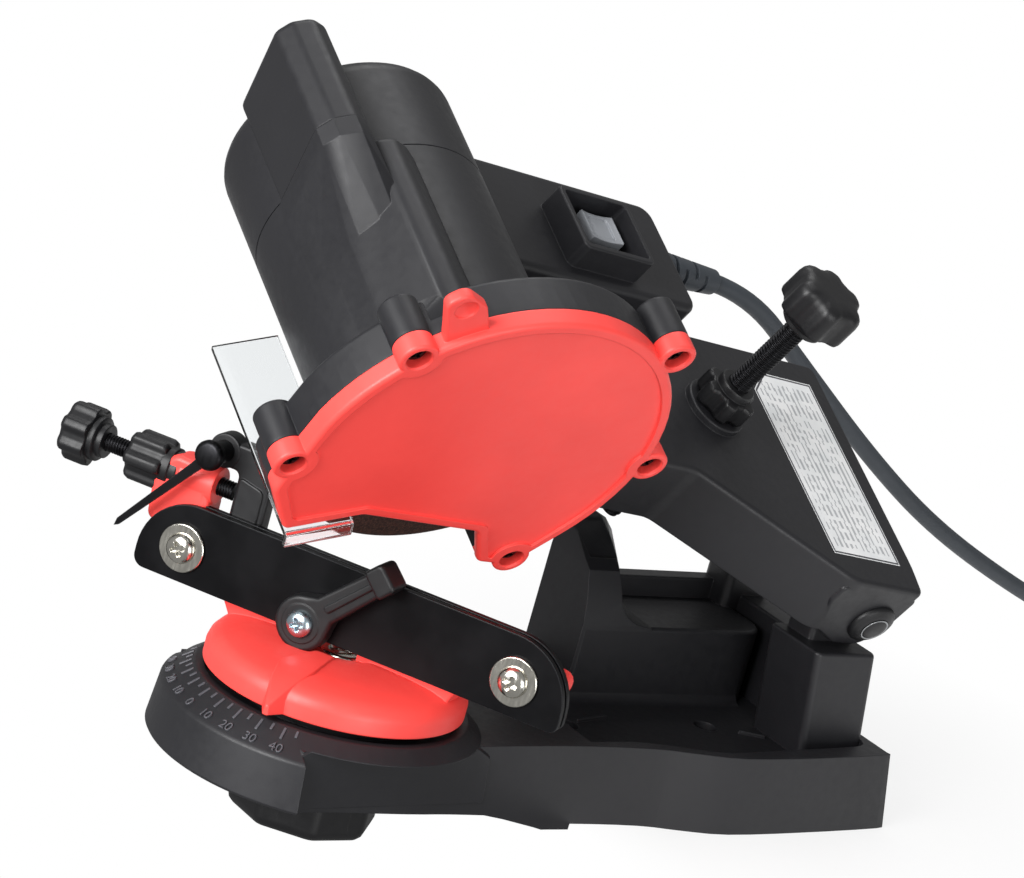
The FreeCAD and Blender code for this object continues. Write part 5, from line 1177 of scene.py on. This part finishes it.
class BuildTurntable(bpy.types.Operator):
    """Red turntable: domed disc, pointer, wall behind the rails and the stop-screw bracket"""
    bl_idname = "sharpener.turntable"
    bl_label = "Turntable"

    def execute(self, context):
        v = sizes("sharpener_vise")
        rim = v.table_r
        dome = lathe("XY", [(HOLE_10, 33), (12, 33), (12, 40), (30, 38.4), (rim - 3, 34.8), (rim - 3, 33),
                            (rim - 0.5, 33), (rim, 33.4), (rim, 37.6), (rim - 0.6, 39.8), (rim - 2.1, 41.7),
                            (rim - 4.6, 43), (33, 44.1), (26, 44.8), (16, 45.2), (11.6, 45), (10.6, 44.1),
                            (10.2, 43.7), (9.6, 43.7), (9.2, 44.1), (7.6, 44), (7.25, 43.6), (7.25, 42.2),
                            (HOLE_10, 42.2)], sides=128, closed=True)
        fuse(dome, self.pointer(), self.wall(), *self.bracket())
        for x, z in rail_holes(v):
            cut(dome, rod("XZ", x, z, HOLE_5, -6, 8, 24))
        cut(dome, rod("YZ", STOP_Y, STOP_Z, HOLE_6, -70, -50, 32))
        cut(dome, rod("XY", 0, 0, 7.25, 42.2, 60, 48))
        settle(dome, "turntable_moulding", VISE, "moulded_abs_red", "vise", "red_plastic", "turntable",
               smooth=35)
        return {"FINISHED"}

    def pointer(self):
        """Wedge with a ridged back that points at the scale."""
        wedge = loft("XZ", [(-48.6, [(-1.0, 33.2), (0.8, 33.2), (0.4, 36.4), (-0.6, 36.4)]),
                            (-40, [(-5.6, 33.2), (4.4, 33.2), (3.2, 42.8), (-4.6, 42.8)]),
                            (-30, [(-9.4, 33.2), (6.4, 33.2), (4.6, 45.4), (-7.4, 45.4)]),
                            (-13, [(-4, 36), (4, 36), (3.0, 46.0), (-3.4, 46.0)])])
        return soften(wedge, 0.5, 2, 40)

    def wall(self):
        """Wall behind the rear rail, with its sloping feet on the dome."""
        outline = rounded([(-37, 38), (37, 38), (42, 48.6, 2), (66, 49, 4), (72.5, 55, 4), (75, 63.8, 5),
                           (-70.5, 64.6, 4), (-70.5, 49, 4), (-44, 48.6, 2)], 4)
        return prism("XZ", outline, -3.5, 6.4, bevel=0.8)

    def bracket(self):
        """Hood round the stop screw, on a web at the wall's left end."""
        hood = prism("XZ", rounded([(-74.4, 63, 3), (-54.5, 62, 2), (-54.5, 74, 3), (-57, 82, 5),
                                    (-62, 86, 3), (-70, 86.3, 5), (-75.5, 78, 5)], 5), -6.5, 5, bevel=2.2,
                     steps=4)
        web = prism("XZ", rounded([(-67.5, 60, 1), (-52.5, 60, 1), (-54.5, 72, 2), (-67.5, 74, 2)], 3),
                    -3.4, 3.2, bevel=0.6)
        tube = rod("YZ", STOP_Y, STOP_Z, 6.2, -67, -54, bevel=0.6)
        ring = lathe("YZ", [(3.4, -67.6), (5.4, -67.6), (5.8, -67.2), (5.8, -66), (3.4, -66)], STOP_Y,
                     STOP_Z, closed=True)
        return [hood, web, tube, ring]


class BuildRails(bpy.types.Operator):
    """The two coated steel rails with the chain groove between them"""
    bl_idname = "sharpener.rails"
    bl_label = "Chain rails"

    def execute(self, context):
        v = sizes("sharpener_vise")
        left, right = 3.4 - v.rail_len / 2, 3.4 + v.rail_len / 2 - 2.6
        top = v.rail_z + v.rail_high
        outline = rounded([(left, v.rail_z, 4), (right, v.rail_z, 3), (right, top, 20), (left, top, 19)],
                          12, 0.8)
        rear_y = -v.rail_front + v.rail_thick + v.groove
        for name, front, body, node in (("front", -v.rail_front, "jaw", "rail_front"),
                                        ("rear", rear_y, "vise", "rail_rear")):
            rail = prism("XZ", outline, front, front + v.rail_thick, bevel=0.35, steps=2)
            for x, z in rail_holes(v):
                cut(rail, rod("XZ", x, z, HOLE_5, front - 1, front + v.rail_thick + 1, 24))
            settle(rail, "chain_rail_" + name, VISE, "coated_steel_satin", body, "rail_steel", node)
        return {"FINISHED"}


class BuildRailFasteners(bpy.types.Operator):
    """Cross-recessed screws, washers and nuts of the rails"""
    bl_idname = "sharpener.rail_fasteners"
    bl_label = "Rail fasteners"

    def execute(self, context):
        v = sizes("sharpener_vise")
        places = [moved(VISE, x, -v.rail_front - 1.2, z) for x, z in rail_holes(v)[:2]]
        screws, washers, nuts = [], [], []
        screw = pan_screw(v.head_r, 2.6, 2.5, 22.6)
        washer = lathe("XY", [(2.6, -1.2), (v.washer_r - 0.3, -1.2), (v.washer_r, -0.9), (v.washer_r, -0.3),
                              (v.washer_r - 0.3, 0), (2.9, 0), (2.6, -0.3)], sides=64, closed=True)
        nut = hexagon_nut(4.6, 4, 2.5)
        for k, place in enumerate(places):
            forward = turned(place, "X", 90)
            screws.append(copy_of(screw, turned(forward, "Z", 25 + 50 * k)))
            washers.append(copy_of(washer, forward))
            nuts.append(copy_of(nut, moved(turned(moved(place, 0, 20.7), "X", 90), 0, 0, -4)))
        remove(screw, washer, nut)
        for pieces, name, node in ((screws, "rail_screw_set", "rail_screws"),
                                   (washers, "rail_washer_set", "rail_washers"),
                                   (nuts, "rail_nut_set", "rail_nuts")):
            settle(joined(*pieces), name, BASE, "nickel_plated_steel", "vise", "bright_steel", node)
        return {"FINISHED"}


class BuildClampLever(bpy.types.Operator):
    """Cam lever on the front rail and its shouldered screw"""
    bl_idname = "sharpener.clamp_lever"
    bl_label = "Clamp lever"

    def execute(self, context):
        blade = arc(0, 0, 9, 48, 312, 20) + [(9.5, -4.6), (31, -4.0), (31, 4.0), (9.5, 4.6)]
        lever = prism("XZ", blade, -16.3, -9.8, bevel=1.3, steps=4)
        grip = prism("XZ", rounded([(29.2, -4.9, 1.5), (36.4, -4.9, 1.8), (36.4, 4.9, 1.8),
                                    (29.2, 4.9, 1.5)], 4), -20.2, -9.9, bevel=1.2, steps=4)
        rib = prism("XZ", rounded([(10, -1.2, 0.8), (31, -1.0, 0.8), (31, 1.0, 0.8), (10, 1.2, 0.8)], 3),
                    -17.2, -15, bevel=0.4, ends="low")
        fuse(lever, grip, rib)
        fuse(lever, rod("XZ", 0, 0, 6.4, -16.6, -12, bevel=0.3))
        cut(lever, rod("XZ", 0, 0, HOLE_5, -22, -9, 24))
        settle(lever, "clamp_lever_moulded", LEVER, "moulded_nylon_black", "lever", "black_plastic",
               "clamp_lever")
        screw = pan_screw(4.4, 2.6, 2.5, 23)
        place = turned(moved(VISE, CAM_X, -16.62, CAM_Z), "X", 90)
        settle(screw, "lever_screw_turned", turned(place, "Z", 20), "zinc_plated_steel", "vise",
               "bright_steel", "lever_screw")
        return {"FINISHED"}


class BuildChainStop(bpy.types.Operator):
    """Chain stop: threaded screw, knob, lock nut, carriage with its pivot head, and pawl"""
    bl_idname = "sharpener.chain_stop"
    bl_label = "Chain stop"

    def execute(self, context):
        screw = placed(thread(2.98, 0.45, 1.0, -107.4, -48.6, 24), turned(BASE, "Y", 90))
        settle(screw, "stop_screw_threaded", STOP, "black_oxide_steel", "stop_slide", "rail_steel",
               "stop_rod", smooth=25)
        levels = [(-109.6, 0.84), (-109.2, 0.92), (-108.4, 0.98), (-107.6, 1.0), (-101.6, 1.0),
                  (-100.2, 0.97), (-99.8, 0.9)]
        knob = stack("YZ", lobes(10, 8.6, 7, 1.2), levels)
        fuse(knob, lathe("YZ", [(0, -101), (7.4, -101), (7.4, -98.2), (7.0, -97.8), (5.6, -97.6),
                                (5.6, -95.8), (5.3, -95.6), (0, -95.6)], sides=48))
        cut(knob, rod("YZ", 0, 0, HOLE_6, -107.7, -90, 24))
        cut(knob, lathe("YZ", [(0, -114), (5.0, -114), (4.6, -108.7), (0, -108.7)], sides=48))
        settle(knob, "stop_knob_lobed", STOP, "moulded_nylon_black", "stop_turner", "black_plastic",
               "stop_knob")
        nut = stack("YZ", lobes(8.6, 6.8, 6, 1.3), [(-86, 0.86), (-85.4, 0.95), (-84.4, 1.0), (-74.6, 1.0),
                                                    (-73.4, 0.95), (-72.9, 0.86)])
        fuse(nut, lathe("YZ", [(0, -73.4), (6.6, -73.4), (6.6, -70.6), (6.0, -70.2), (6.0, -68), (5.7, -67.7),
                               (0, -67.7)], sides=48))
        cut(nut, rod("YZ", 0, 0, HOLE_6, -90, -60, 24))
        settle(nut, "stop_lock_nut_lobed", STOP, "moulded_nylon_black", "stop_locker", "black_plastic",
               "stop_lock_nut")
        self.carriage()
        self.pawl()
        return {"FINISHED"}

    def carriage(self):
        """Carriage with its pivot head and ribbed face, and the pawl's pin."""
        body = prism("XZ", rounded([(-48.1, 64.4, 1.5), (-36.3, 64.4, 2), (-36.3, 88, 7), (-42.6, 95.8, 4),
                                    (-59.4, 95.8, 4.6), (-59.4, 87.2, 3), (-48.1, 87.2, 2)], 5), -3.1, 3.3,
                     bevel=1.0, steps=3)
        fuse(body, rod("XZ", PIN_X, PIN_Z, 5.6, -3.6, 3.2, bevel=0.7))
        rib = prism("XZ", rounded([(-47, 66, 1), (-38, 66, 1), (-38, 84, 2), (-47, 86, 1)], 3), -3.9, -2,
                    bevel=0.5, ends="low")
        fuse(body, rib)
        cut(body, rod("XZ", PIN_X, PIN_Z, 2.0, -9, 9, 24))
        settle(body, "stop_carriage_moulded", VISE, "moulded_nylon_black", "stop_slide", "black_plastic",
               "stop_carriage")
        pin = lathe("XZ", [(0, -15.6), (3.4, -15.6), (4.4, -15.1), (4.9, -14.1), (4.9, -13), (2.0, -13),
                           (2.0, 3.3), (0, 3.3)], sides=48)
        settle(pin, "pawl_pin_riveted", moved(VISE, PIN_X, 0, PIN_Z), "black_oxide_steel", "stop_slide",
               "rail_steel", "pawl_pin")

    def pawl(self):
        """Pressed pawl with its tapering tip and hub."""
        outline = arc(0, 0, 4.4, 24, 336, 16) + [(8, -1.6), (40.5, -1.0), (42.9, 0.2), (41.5, 0.9), (8, 1.6)]
        blade = prism("XZ", outline, -12.6, -11.0, bevel=0.25, steps=2)
        fuse(blade, rod("XZ", 0, 0, 3.6, -11.2, -3.5, bevel=0.2))
        cut(blade, rod("XZ", 0, 0, 2.05, -14, -2, 24))
        settle(blade, "stop_pawl_pressed", PAWL, "coated_steel_satin", "pawl", "rail_steel", "stop_pawl")


class BuildArm(bpy.types.Operator):
    """Arm shell with its ears, shaft caps and the return spring"""
    bl_idname = "sharpener.arm"
    bl_label = "Arm and pivot"

    def execute(self, context):
        h = sizes("sharpener_head")
        outer = rounded([(10.6, h.arm_near, 3), (10.6, h.arm_far, 3), (-159, h.arm_far, 2), (-159, 48.3, 2),
                         (-84, 48.3, 10), (-25, h.arm_near, 16)], 5)
        shell = prism("XY", outer, h.arm_skirt, h.arm_top)
        round_edges(shell, lambda a, b: a.z > 17.7 and b.z > 17.7 and (a.y + b.y) / 2 < 60, 3.6, 5)
        inner = rounded([(9, 17.5), (9, 106.8), (-156, 106.8, 3), (-156, 51.2, 3), (-82, 51.2, 8),
                         (-23, 17.5, 10)], 4)
        cut(shell, prism("XY", inner, h.arm_skirt - 1, h.arm_top - 2.8))
        for start in (h.arm_near, h.arm_far - 5.2):
            ear = prism("XZ", rounded([(-27, 6, 6), (-19, -8.5, 5), (-7, -13.5, 7), (5, -12.5, 7),
                                       (10.5, -4, 5), (10.5, 14, 2), (-27, 14, 2)], 5), start, start + 5.2,
                        bevel=1.2, steps=3)
            fuse(shell, ear)
        seat = lathe("XY", [(0, 10), (11.5, 10), (11.5, 19.9), (11.1, 20.3), (8.0, 20.3), (7.6, 19.9),
                            (0, 19.9)], x=DEPTH_X, y=DEPTH_Y)
        boss = rod("XY", DEPTH_X, DEPTH_Y, 8.8, 0, 17)
        fuse(shell, seat, boss)
        cut(shell, rod("XY", DEPTH_X, DEPTH_Y, HOLE_8, -5, 30, 32))
        for start in (10, 100):
            cut(shell, rod("XZ", 0, 0, HOLE_10, start, start + 16, 32))
        cut(shell, prism("XY", [(-30, 23.5), (4, 23.5), (4, 103), (-21, 103), (-30, 94)], 17.2, 19))
        settle(shell, "arm_moulding", HEAD, "moulded_abs_charcoal", "arm", "black_plastic", "arm_shell",
               smooth=32)
        self.label_border()
        caps = []
        for face, seat_w, tip in ((8.3, 12.3, 9), (116, 112, 115.5)):
            inward = 1 if seat_w > face else -1
            profile = [(0, face + 0.1 * inward), (2.8, face + 0.25 * inward), (4.4, face + 0.6 * inward),
                       (4.7, face + 0.9 * inward), (6.4, face + 1.3 * inward), (6.8, face + 1.8 * inward),
                       (7.9, face + 2.2 * inward), (8.5, face + 3.0 * inward), (8.5, seat_w),
                       (HOLE_10, seat_w), (HOLE_10, tip + 0.1 * inward), (0, tip + 0.1 * inward)]
            caps.append(lathe("XZ", profile, sides=48))
        settle(joined(*caps), "pivot_push_caps", HEAD, "moulded_nylon_black", "arm", "black_plastic",
               "pivot_caps")
        self.spring()
        return {"FINISHED"}

    def label_border(self):
        """Thin raised border round the label's field."""
        outer = [(-29.6, 23.9), (3.6, 23.9), (3.6, 102.6), (-20.8, 102.6), (-29.6, 93.8)]
        inner = [(-28.9, 24.6), (2.9, 24.6), (2.9, 101.9), (-20.5, 101.9), (-28.9, 93.5)]
        border = prism("XY", outer, 17.3, 17.82)
        cut(border, prism("XY", inner, 17, 19))
        settle(border, "label_border", HEAD, "moulded_abs_marks", "arm", "black_plastic")

    def spring(self):
        """Coil spring wound round the shaft between the bosses."""
        turns, first, last = 16, 36.8, 85.2
        deselect()
        bpy.ops.mesh.primitive_circle_add(vertices=10, radius=1.1 * MM, location=(6.5 * MM, first * MM, 0))
        wire = bpy.context.object
        apply_place(wire)
        modify(wire, "SCREW", axis="Y", angle=math.tau * turns, screw_offset=(last - first) * MM,
               steps=20 * turns, render_steps=20 * turns)
        edit(wire)
        close_ends(wire)
        settle(wire, "return_spring_coil", HEAD, "turned_steel", "arm", "plain_steel", "return_spring")


class BuildDepthStop(bpy.types.Operator):
    """Depth stop: threaded screw, lobed knob and lock nut"""
    bl_idname = "sharpener.depth_stop"
    bl_label = "Depth stop"

    def execute(self, context):
        screw = thread(3.98, 0.55, 1.25, -36.8, 76, 28)
        fuse(screw, rod("XY", 0, 0, 3.5, -37, -36, 28, bevel=0.3))
        settle(screw, "depth_screw_threaded", DEPTH, "black_oxide_steel", "depth_slide", "rail_steel",
               "depth_rod", smooth=25)
        levels = [(66.6, 0.9), (67.1, 0.97), (68.2, 1.0), (76.0, 1.0), (77.6, 0.98), (78.8, 0.93),
                  (79.7, 0.84), (80.2, 0.68), (80.3, 0.4)]
        knob = stack("XY", lobes(13.4, 11.4, 6, 1.1), levels)
        fuse(knob, lathe("XY", [(0, 62.6), (7.2, 62.6), (7.8, 63.1), (7.8, 64.8), (9.2, 65.2), (9.6, 65.8),
                                (9.6, 68), (0, 68)], sides=48))
        cut(knob, rod("XY", 0, 0, HOLE_8, 60, 78.3, 24))
        settle(knob, "depth_knob_lobed", DEPTH, "moulded_nylon_black", "depth_turner", "black_plastic",
               "depth_knob")
        nut = stack("XY", lobes(10.5, 8.2, 6, 1.4), [(20.6, 0.88), (21.1, 0.96), (22, 1.0), (27.2, 1.0),
                                                     (28.3, 0.96), (28.8, 0.86)])
        fuse(nut, lathe("XY", [(0, 28), (6.8, 28), (6.8, 31), (6.3, 31.6), (0, 31.6)], sides=48))
        cut(nut, rod("XY", 0, 0, HOLE_8, 10, 40, 24))
        settle(nut, "depth_lock_nut_lobed", DEPTH, "moulded_nylon_black", "depth_locker", "black_plastic",
               "depth_lock_nut")
        return {"FINISHED"}


def cover_outline(h, inset=0.0):
    """Outline of cover and disc housing with its open mouth below, drawn inwards by a distance."""
    first, last = (-20.2, 186) if inset else (-23.2, 180)
    low = [(-57 + inset, -30 + inset * 0.6, 6), (-41, -45.5 + inset * 1.3, 2.5),
           (-19 - inset * 0.2, -33 + inset, 5), (27 + inset * 0.5, -31 + inset, 4),
           (38 + inset * 0.6, -44 + inset * 0.8, 3), (51 - inset * 0.5, -43 + inset * 0.8, 5)]
    return rounded(arc(RIM_X, 0, h.cover_r - inset, first, last, 40) + low, 5)


def disc_room(h, x, y):
    """Space for the disc, open below, where (x, y) is the inner corner of its mouth."""
    return arc(RIM_X, 0, h.cover_r - SKIN, -23.2, 180, 48) + [
        (-54.4, -28.7), (-41, -42.9), (x, y), (x, -52), (36.7, -52), (39.3, -41.4), (49.7, -40.4)]


class BuildHousing(bpy.types.Operator):
    """Disc housing with screw bosses and ridge, motor shell and its cap with the fin"""
    bl_idname = "sharpener.housing"
    bl_label = "Motor and disc housing"

    # Outlines of the ridge on the motor shell and of the fin on its cap
    RIDGE = [(-39.8, -1), (0, 0), (-15.2, 34.9), (-20.9, 38.4, 4), (-27.4, 40.5, 6), (-33.2, 37.5, 5),
             (-38.4, 16, 20)]
    FIN = [(-39.7, -1, 3), (-10, 10), (-31.3, 25.7, 3), (-34.7, 39.1, 4), (-41.5, 40.8, 5), (-47.6, 37, 5),
           (-50.1, 31.4, 4)]

    def execute(self, context):
        h = sizes("sharpener_head")
        body = prism("XZ", cover_outline(h), h.rim_w, h.back_w, bevel=1.8, steps=4, ends="high")
        band = arc(RIM_X, 0, h.cover_r, -20, 184, 60) + arc(RIM_X, 0, h.cover_r - 4, 184, -20, 60)
        fuse(body, prism("XZ", band, h.rim_w + 0.6, h.rim_w + 3.2, bevel=0.3, steps=2))
        for x, y in EYES:
            fuse(body, rod("XZ", x, y, h.eye_r, h.rim_w, h.back_w + 1, bevel=0.9, steps=3))
        ridge = prism("XZ", rounded(self.RIDGE, 5), h.back_w - 1, h.seam_w - 4, bevel=2.2, steps=4,
                      ends="high")
        shell = rod("XZ", MOTOR_X, 0, h.motor_r, h.back_w - 1, h.seam_w, 96, bevel=0.5)
        fin = [(-39.7, -1), (-12, 8), (-31.3, 25.7), (-34, 36), (-37, 40), (-41.5, 40.8), (-47.6, 37),
               (-50.1, 31.4)]
        melted = [(-39.2, -1), (-14, 6), (-26, 22), (-28, 33), (-30, 35.5), (-32.6, 33), (-34.4, 28),
                  (-36.4, 20)]
        # The fin runs out into the shell below the joint
        stub = loft("XZ", [(h.seam_w - 32, melted), (h.seam_w - 7, fin), (h.seam_w - 0.05, fin)])
        fuse(body, ridge, shell, stub)
        recess = prism("XY", [(-46, 40), (-33, 40), (-33, 53)] + arc(-39, 53, 6, 0, 180, 10) + [(-46, 53)],
                       22, 46)
        cut(body, recess)
        neck = lathe("XZ", [(37, h.back_w - 0.5), (44, h.back_w - 0.5), (41.5, h.back_w + 1.4),
                            (39.4, h.back_w + 3.6), (38.3, h.back_w + 6.5), (37, h.back_w + 9)], x=MOTOR_X,
                     sides=96, closed=True)
        common(neck, prism("XZ", cover_outline(h, 1.5), h.back_w - 2, h.back_w + 20))
        fuse(body, neck)
        cut(body, prism("XZ", disc_room(h, -40, -42.3), h.rim_w - 1, h.back_w - SKIN))
        for x, y in EYES:
            fuse(body, rod("XZ", x, y, h.eye_r - 0.05, h.rim_w + 0.05, h.back_w - 1))
            cut(body, rod("XZ", x, y, PILOT_R, h.rim_w - 1, h.back_w + 0.1, 20))
        cut(body, rod("XZ", MOTOR_X, 0, h.motor_r - SKIN, h.back_w + 0.01, h.seam_w + 2, 96))
        fuse(body, rod("XZ", 0, 0, SEAT_R, h.back_w - 0.5, h.back_w + 8, 48))
        cut(body, rod("XZ", 0, 0, BEARING_R, h.back_w + 1, h.seam_w + 2, 48))
        cut(body, rod("XZ", 0, 0, 8.4, h.rim_w, h.back_w + 3, 48))
        settle(body, "motor_housing_moulding", DISC, "moulded_abs_charcoal", "arm", "black_plastic",
               "motor_housing", smooth=32)
        self.cap(h)
        return {"FINISHED"}

    def cap(self, h):
        """Cap with its rounded end, fin, air slots and bearing seat."""
        cap = rod("XZ", MOTOR_X, 0, h.motor_r, h.seam_w + 0.05, h.motor_end - 0.2, 96)
        round_edges(cap, lambda a, b: a.y > h.motor_end - 1 and b.y > h.motor_end - 1, 7, 7)
        fin = prism("XZ", rounded(self.FIN, 5), h.seam_w + 0.05, h.fin_end - 0.1, bevel=3.2, steps=5,
                    ends="high")
        fuse(cap, fin)
        for k in range(9):
            slot = prism("XZ", rectangle(-16, 16, -0.9, 0.9), h.motor_end - 3.5, h.motor_end + 1)
            cut(cap, placed(slot, moved(BASE, MOTOR_X, 0, -16 + 4 * k)))
        cut(cap, rod("XZ", MOTOR_X, 0, h.motor_r - SKIN, h.seam_w - 1, h.motor_end - 4, 96))
        fuse(cap, rod("XZ", 0, 0, SEAT_R, h.motor_end - 9.6, h.motor_end - 3.9, 48))
        cut(cap, rod("XZ", 0, 0, BEARING_R, h.motor_end - 10, h.motor_end - 2.6, 48))
        settle(cap, "motor_cap_moulding", DISC, "moulded_abs_charcoal", "arm", "black_plastic", "motor_cap",
               smooth=32)


class BuildCover(bpy.types.Operator):
    """Red disc cover with five screw eyes and a finger tab, and its screws"""
    bl_idname = "sharpener.cover"
    bl_label = "Disc cover"

    def execute(self, context):
        h = sizes("sharpener_head")
        body = prism("XZ", cover_outline(h), h.cover_w, h.rim_w - 0.15, bevel=1.5, steps=4, ends="low")
        sunk = prism("XZ", cover_outline(h, 3.6), h.cover_w - 1, h.cover_w + 0.9)
        for x, y in EYES:
            cut(sunk, rod("XZ", x, y, h.eye_r + 1.6, h.cover_w - 2, h.cover_w + 3))
        round_edges(sunk, lambda a, b: a.y > h.cover_w + 0.8 and b.y > h.cover_w + 0.8, 0.8, 3)
        cut(body, sunk)
        for x, y in EYES:
            fuse(body, rod("XZ", x, y, h.eye_r, h.cover_w, h.rim_w - 0.15, bevel=0.9, steps=3))
        tab = prism("XZ", rounded([(-40, 33), (-49, 45, 3), (-56, 54, 3), (-52, 60, 4), (-42.4, 57, 4),
                                   (-32, 46, 3), (-27, 40)], 5), h.rim_w - 4.2, h.rim_w - 0.2, bevel=0.9,
                    steps=3)
        fuse(body, tab)
        scoop = lathe("XZ", [(0, 28.5), (4.6, 29.2), (3.4, 31.4), (1.6, 32.3), (0, 32.5)], x=-48.5, y=54,
                      sides=32)
        cut(body, scoop)
        cut(body, prism("XZ", disc_room(h, -17, -30.4), h.cover_w + SKIN, h.rim_w + 1))
        for x, y in EYES:
            fuse(body, rod("XZ", x, y, h.eye_r - 0.05, h.cover_w + 2.5, h.rim_w - 0.2))
            cut(body, rod("XZ", x, y, PILOT_R, h.cover_w - 1, h.rim_w + 1, 24))
            cut(body, lathe("XZ", [(0, h.cover_w - 1), (4.3, h.cover_w - 1), (4.3, h.cover_w + 0.2),
                                   (3.9, h.cover_w + 0.6), (3.9, h.rim_w - 2), (0, h.rim_w - 2)], x=x, y=y,
                            sides=32))
        settle(body, "disc_cover_moulding", DISC, "moulded_abs_red", "arm", "red_plastic", "disc_cover",
               smooth=32)
        screw = pan_screw(3.6, 2.2, 1.65, 14)
        screws = []
        for k, (x, y) in enumerate(EYES):
            place = turned(turned(moved(BASE, x, h.rim_w - 2, y), "X", 90), "Z", 20 + 37 * k)
            screws.append(copy_of(screw, place))
        remove(screw)
        settle(joined(*screws), "cover_screw_set", DISC, "black_oxide_steel", "arm", "bright_steel",
               "cover_screws")
        return {"FINISHED"}


class BuildShield(bpy.types.Operator):
    """Clear eye shield below the mouth of the disc housing"""
    bl_idname = "sharpener.eye_shield"
    bl_label = "Eye shield"

    def execute(self, context):
        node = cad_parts["eye_shield"]
        only(node)
        bpy.ops.object.duplicate(linked=False)
        shield = bpy.context.object
        for key in list(shield.keys()):
            del shield[key]
        place = shield.matrix_world.copy()
        shield.parent = None
        shield.matrix_world = place
        apply_place(shield)
        edit(shield)
        bpy.ops.mesh.remove_doubles(threshold=0.005 * MM)
        bpy.ops.mesh.select_all(action="SELECT")
        bpy.ops.mesh.dissolve_limited(angle_limit=math.radians(2))
        finish_edit(shield)
        soften(shield, 0.45, 3, 40)
        settle(shield, "eye_shield_clear", BASE, "clear_polycarbonate", "arm", "clear_plastic", "eye_shield")
        return {"FINISHED"}


class BuildSwitchBox(bpy.types.Operator):
    """Switch box with its raised bezel, rocker and the cord's strain relief"""
    bl_idname = "sharpener.switch_box"
    bl_label = "Switch box"

    def execute(self, context):
        h = sizes("sharpener_head")
        box = prism("XY", rounded([(-159.4, 114.4, 4), (-56, 114.4, 5), (-56, 162, 6), (-159.4, 162, 6)], 6),
                    -6, h.box_top)
        round_edges(box, lambda a, b: a.z > h.box_top - 0.1 and b.z > h.box_top - 0.1, 2.6, 5)
        fuse(box, prism("XY", rectangle(-129.4, -60, 111.9, 114.6), -6, 16.8))
        cut(box, prism("XY", pad(-156.6, -58.8, 117.2, 159.2, 2), -7, h.box_top - 2.8))
        bezel = prism("XY", pad(-117, -84, 119.5, 147.3, 2.6, 5), h.box_top - 1, h.box_top + 10, bevel=0.7,
                      steps=3, ends="high")
        cut(bezel, prism("XY", pad(-115, -86, 121.5, 145.3, 1.4, 4), h.box_top, h.box_top + 12))
        fuse(box, bezel)
        cut(box, prism("XY", rectangle(-107, -88, 128.5, 144.5), 20, 30))
        cut(box, rod("YZ", 141, 20, 4, -60, -50, 32))
        seam = prism("XY", rounded([(-159.6, 114.2, 4), (-55.8, 114.2, 5), (-55.8, 162.2, 6),
                                    (-159.6, 162.2, 6)], 6), -1.4, -0.8)
        cut(seam, prism("XY", rounded([(-158.9, 114.9, 4), (-56.5, 114.9, 5), (-56.5, 161.5, 6),
                                       (-158.9, 161.5, 6)], 6), -3, 1))
        cut(box, seam)
        settle(box, "switch_box_moulding", HEAD, "moulded_abs_charcoal", "arm", "black_plastic", "switch_box")
        rocker = prism("XZ", [(-7, -5.5), (7, -5.5), (7.4, 5.0), (7.1, 6.1)] + arc(0, 38.2, 33, -78, -102, 12)
                       + [(-7.1, 6.1), (-7.4, 5.0)], -6, 6, bevel=0.5, steps=3)
        fuse(rocker, rod("XZ", 0, -3, 1.0, -7, 7, 20))
        cut(rocker, prism("XY", pad(-5.6, 4.6, -4.6, 4.6, 1), 4.7, 8))
        settle(rocker, "rocker_moulding", ROCKER, "moulded_rocker_grey", "rocker", "grey_plastic", "rocker")
        self.relief()
        return {"FINISHED"}

    def relief(self):
        """Tapered rubber sleeve with slots, which on the real one let it bend."""
        sleeve = lathe("YZ", [(3.35, -4.7), (5, -4.7), (5, -2.9), (4, -2.9), (4, 0), (6.2, 0), (6.2, 1.4),
                              (5.9, 1.8), (4.55, 27.6), (4.3, 28), (3.35, 28)], sides=48, closed=True)
        for k in range(4):
            for side in (0, 180):
                slot = prism("XZ", rectangle(4.0 + 5.2 * k, 5.9 + 5.2 * k, 2.6, 8), -6.2, 6.2)
                placed(slot, turned(BASE, "X", side + 90 * (k % 2)))
                cut(slot, rod("YZ", 0, 0, 4.1, 2, 30, 32))
                cut(sleeve, slot)
        settle(sleeve, "strain_relief_slotted", RELIEF, "pvc_cord_grey", "arm", "cord_rubber",
               "strain_relief")


class SharpenerPanel(bpy.types.Panel):
    """The pieces in the order in which they are built"""
    bl_idname = "VIEW3D_PT_sharpener"
    bl_label = "Chainsaw sharpener"
    bl_space_type = "VIEW_3D"
    bl_region_type = "UI"
    bl_category = "Sharpener"

    def draw(self, context):
        for step in STEPS:
            self.layout.operator(step.bl_idname)
        for name, group in GROUPS.items():
            box = self.layout.box()
            for key in group.__annotations__:
                box.prop(getattr(context.scene, name), key)


STEPS = (BuildFinishes, BuildStage, BuildCord, BuildBase, BuildSwivel, BuildTurntable, BuildRails,
         BuildRailFasteners, BuildClampLever, BuildChainStop, BuildArm, BuildDepthStop, BuildHousing,
         BuildCover, BuildShield, BuildSwitchBox)
CLASSES = (*GROUPS.values(), *STEPS, SharpenerPanel)


def register():
    for kind in CLASSES:
        bpy.utils.register_class(kind)
    for name, group in GROUPS.items():
        setattr(bpy.types.Scene, name, bpy.props.PointerProperty(type=group))


def unregister():
    for name in GROUPS:
        delattr(bpy.types.Scene, name)
    for kind in reversed(CLASSES):
        bpy.utils.unregister_class(kind)


def main():
    register()
    for step in STEPS:
        family, name = step.bl_idname.split(".")
        getattr(getattr(bpy.ops, family), name)()


if __name__ == "__main__":
    main()
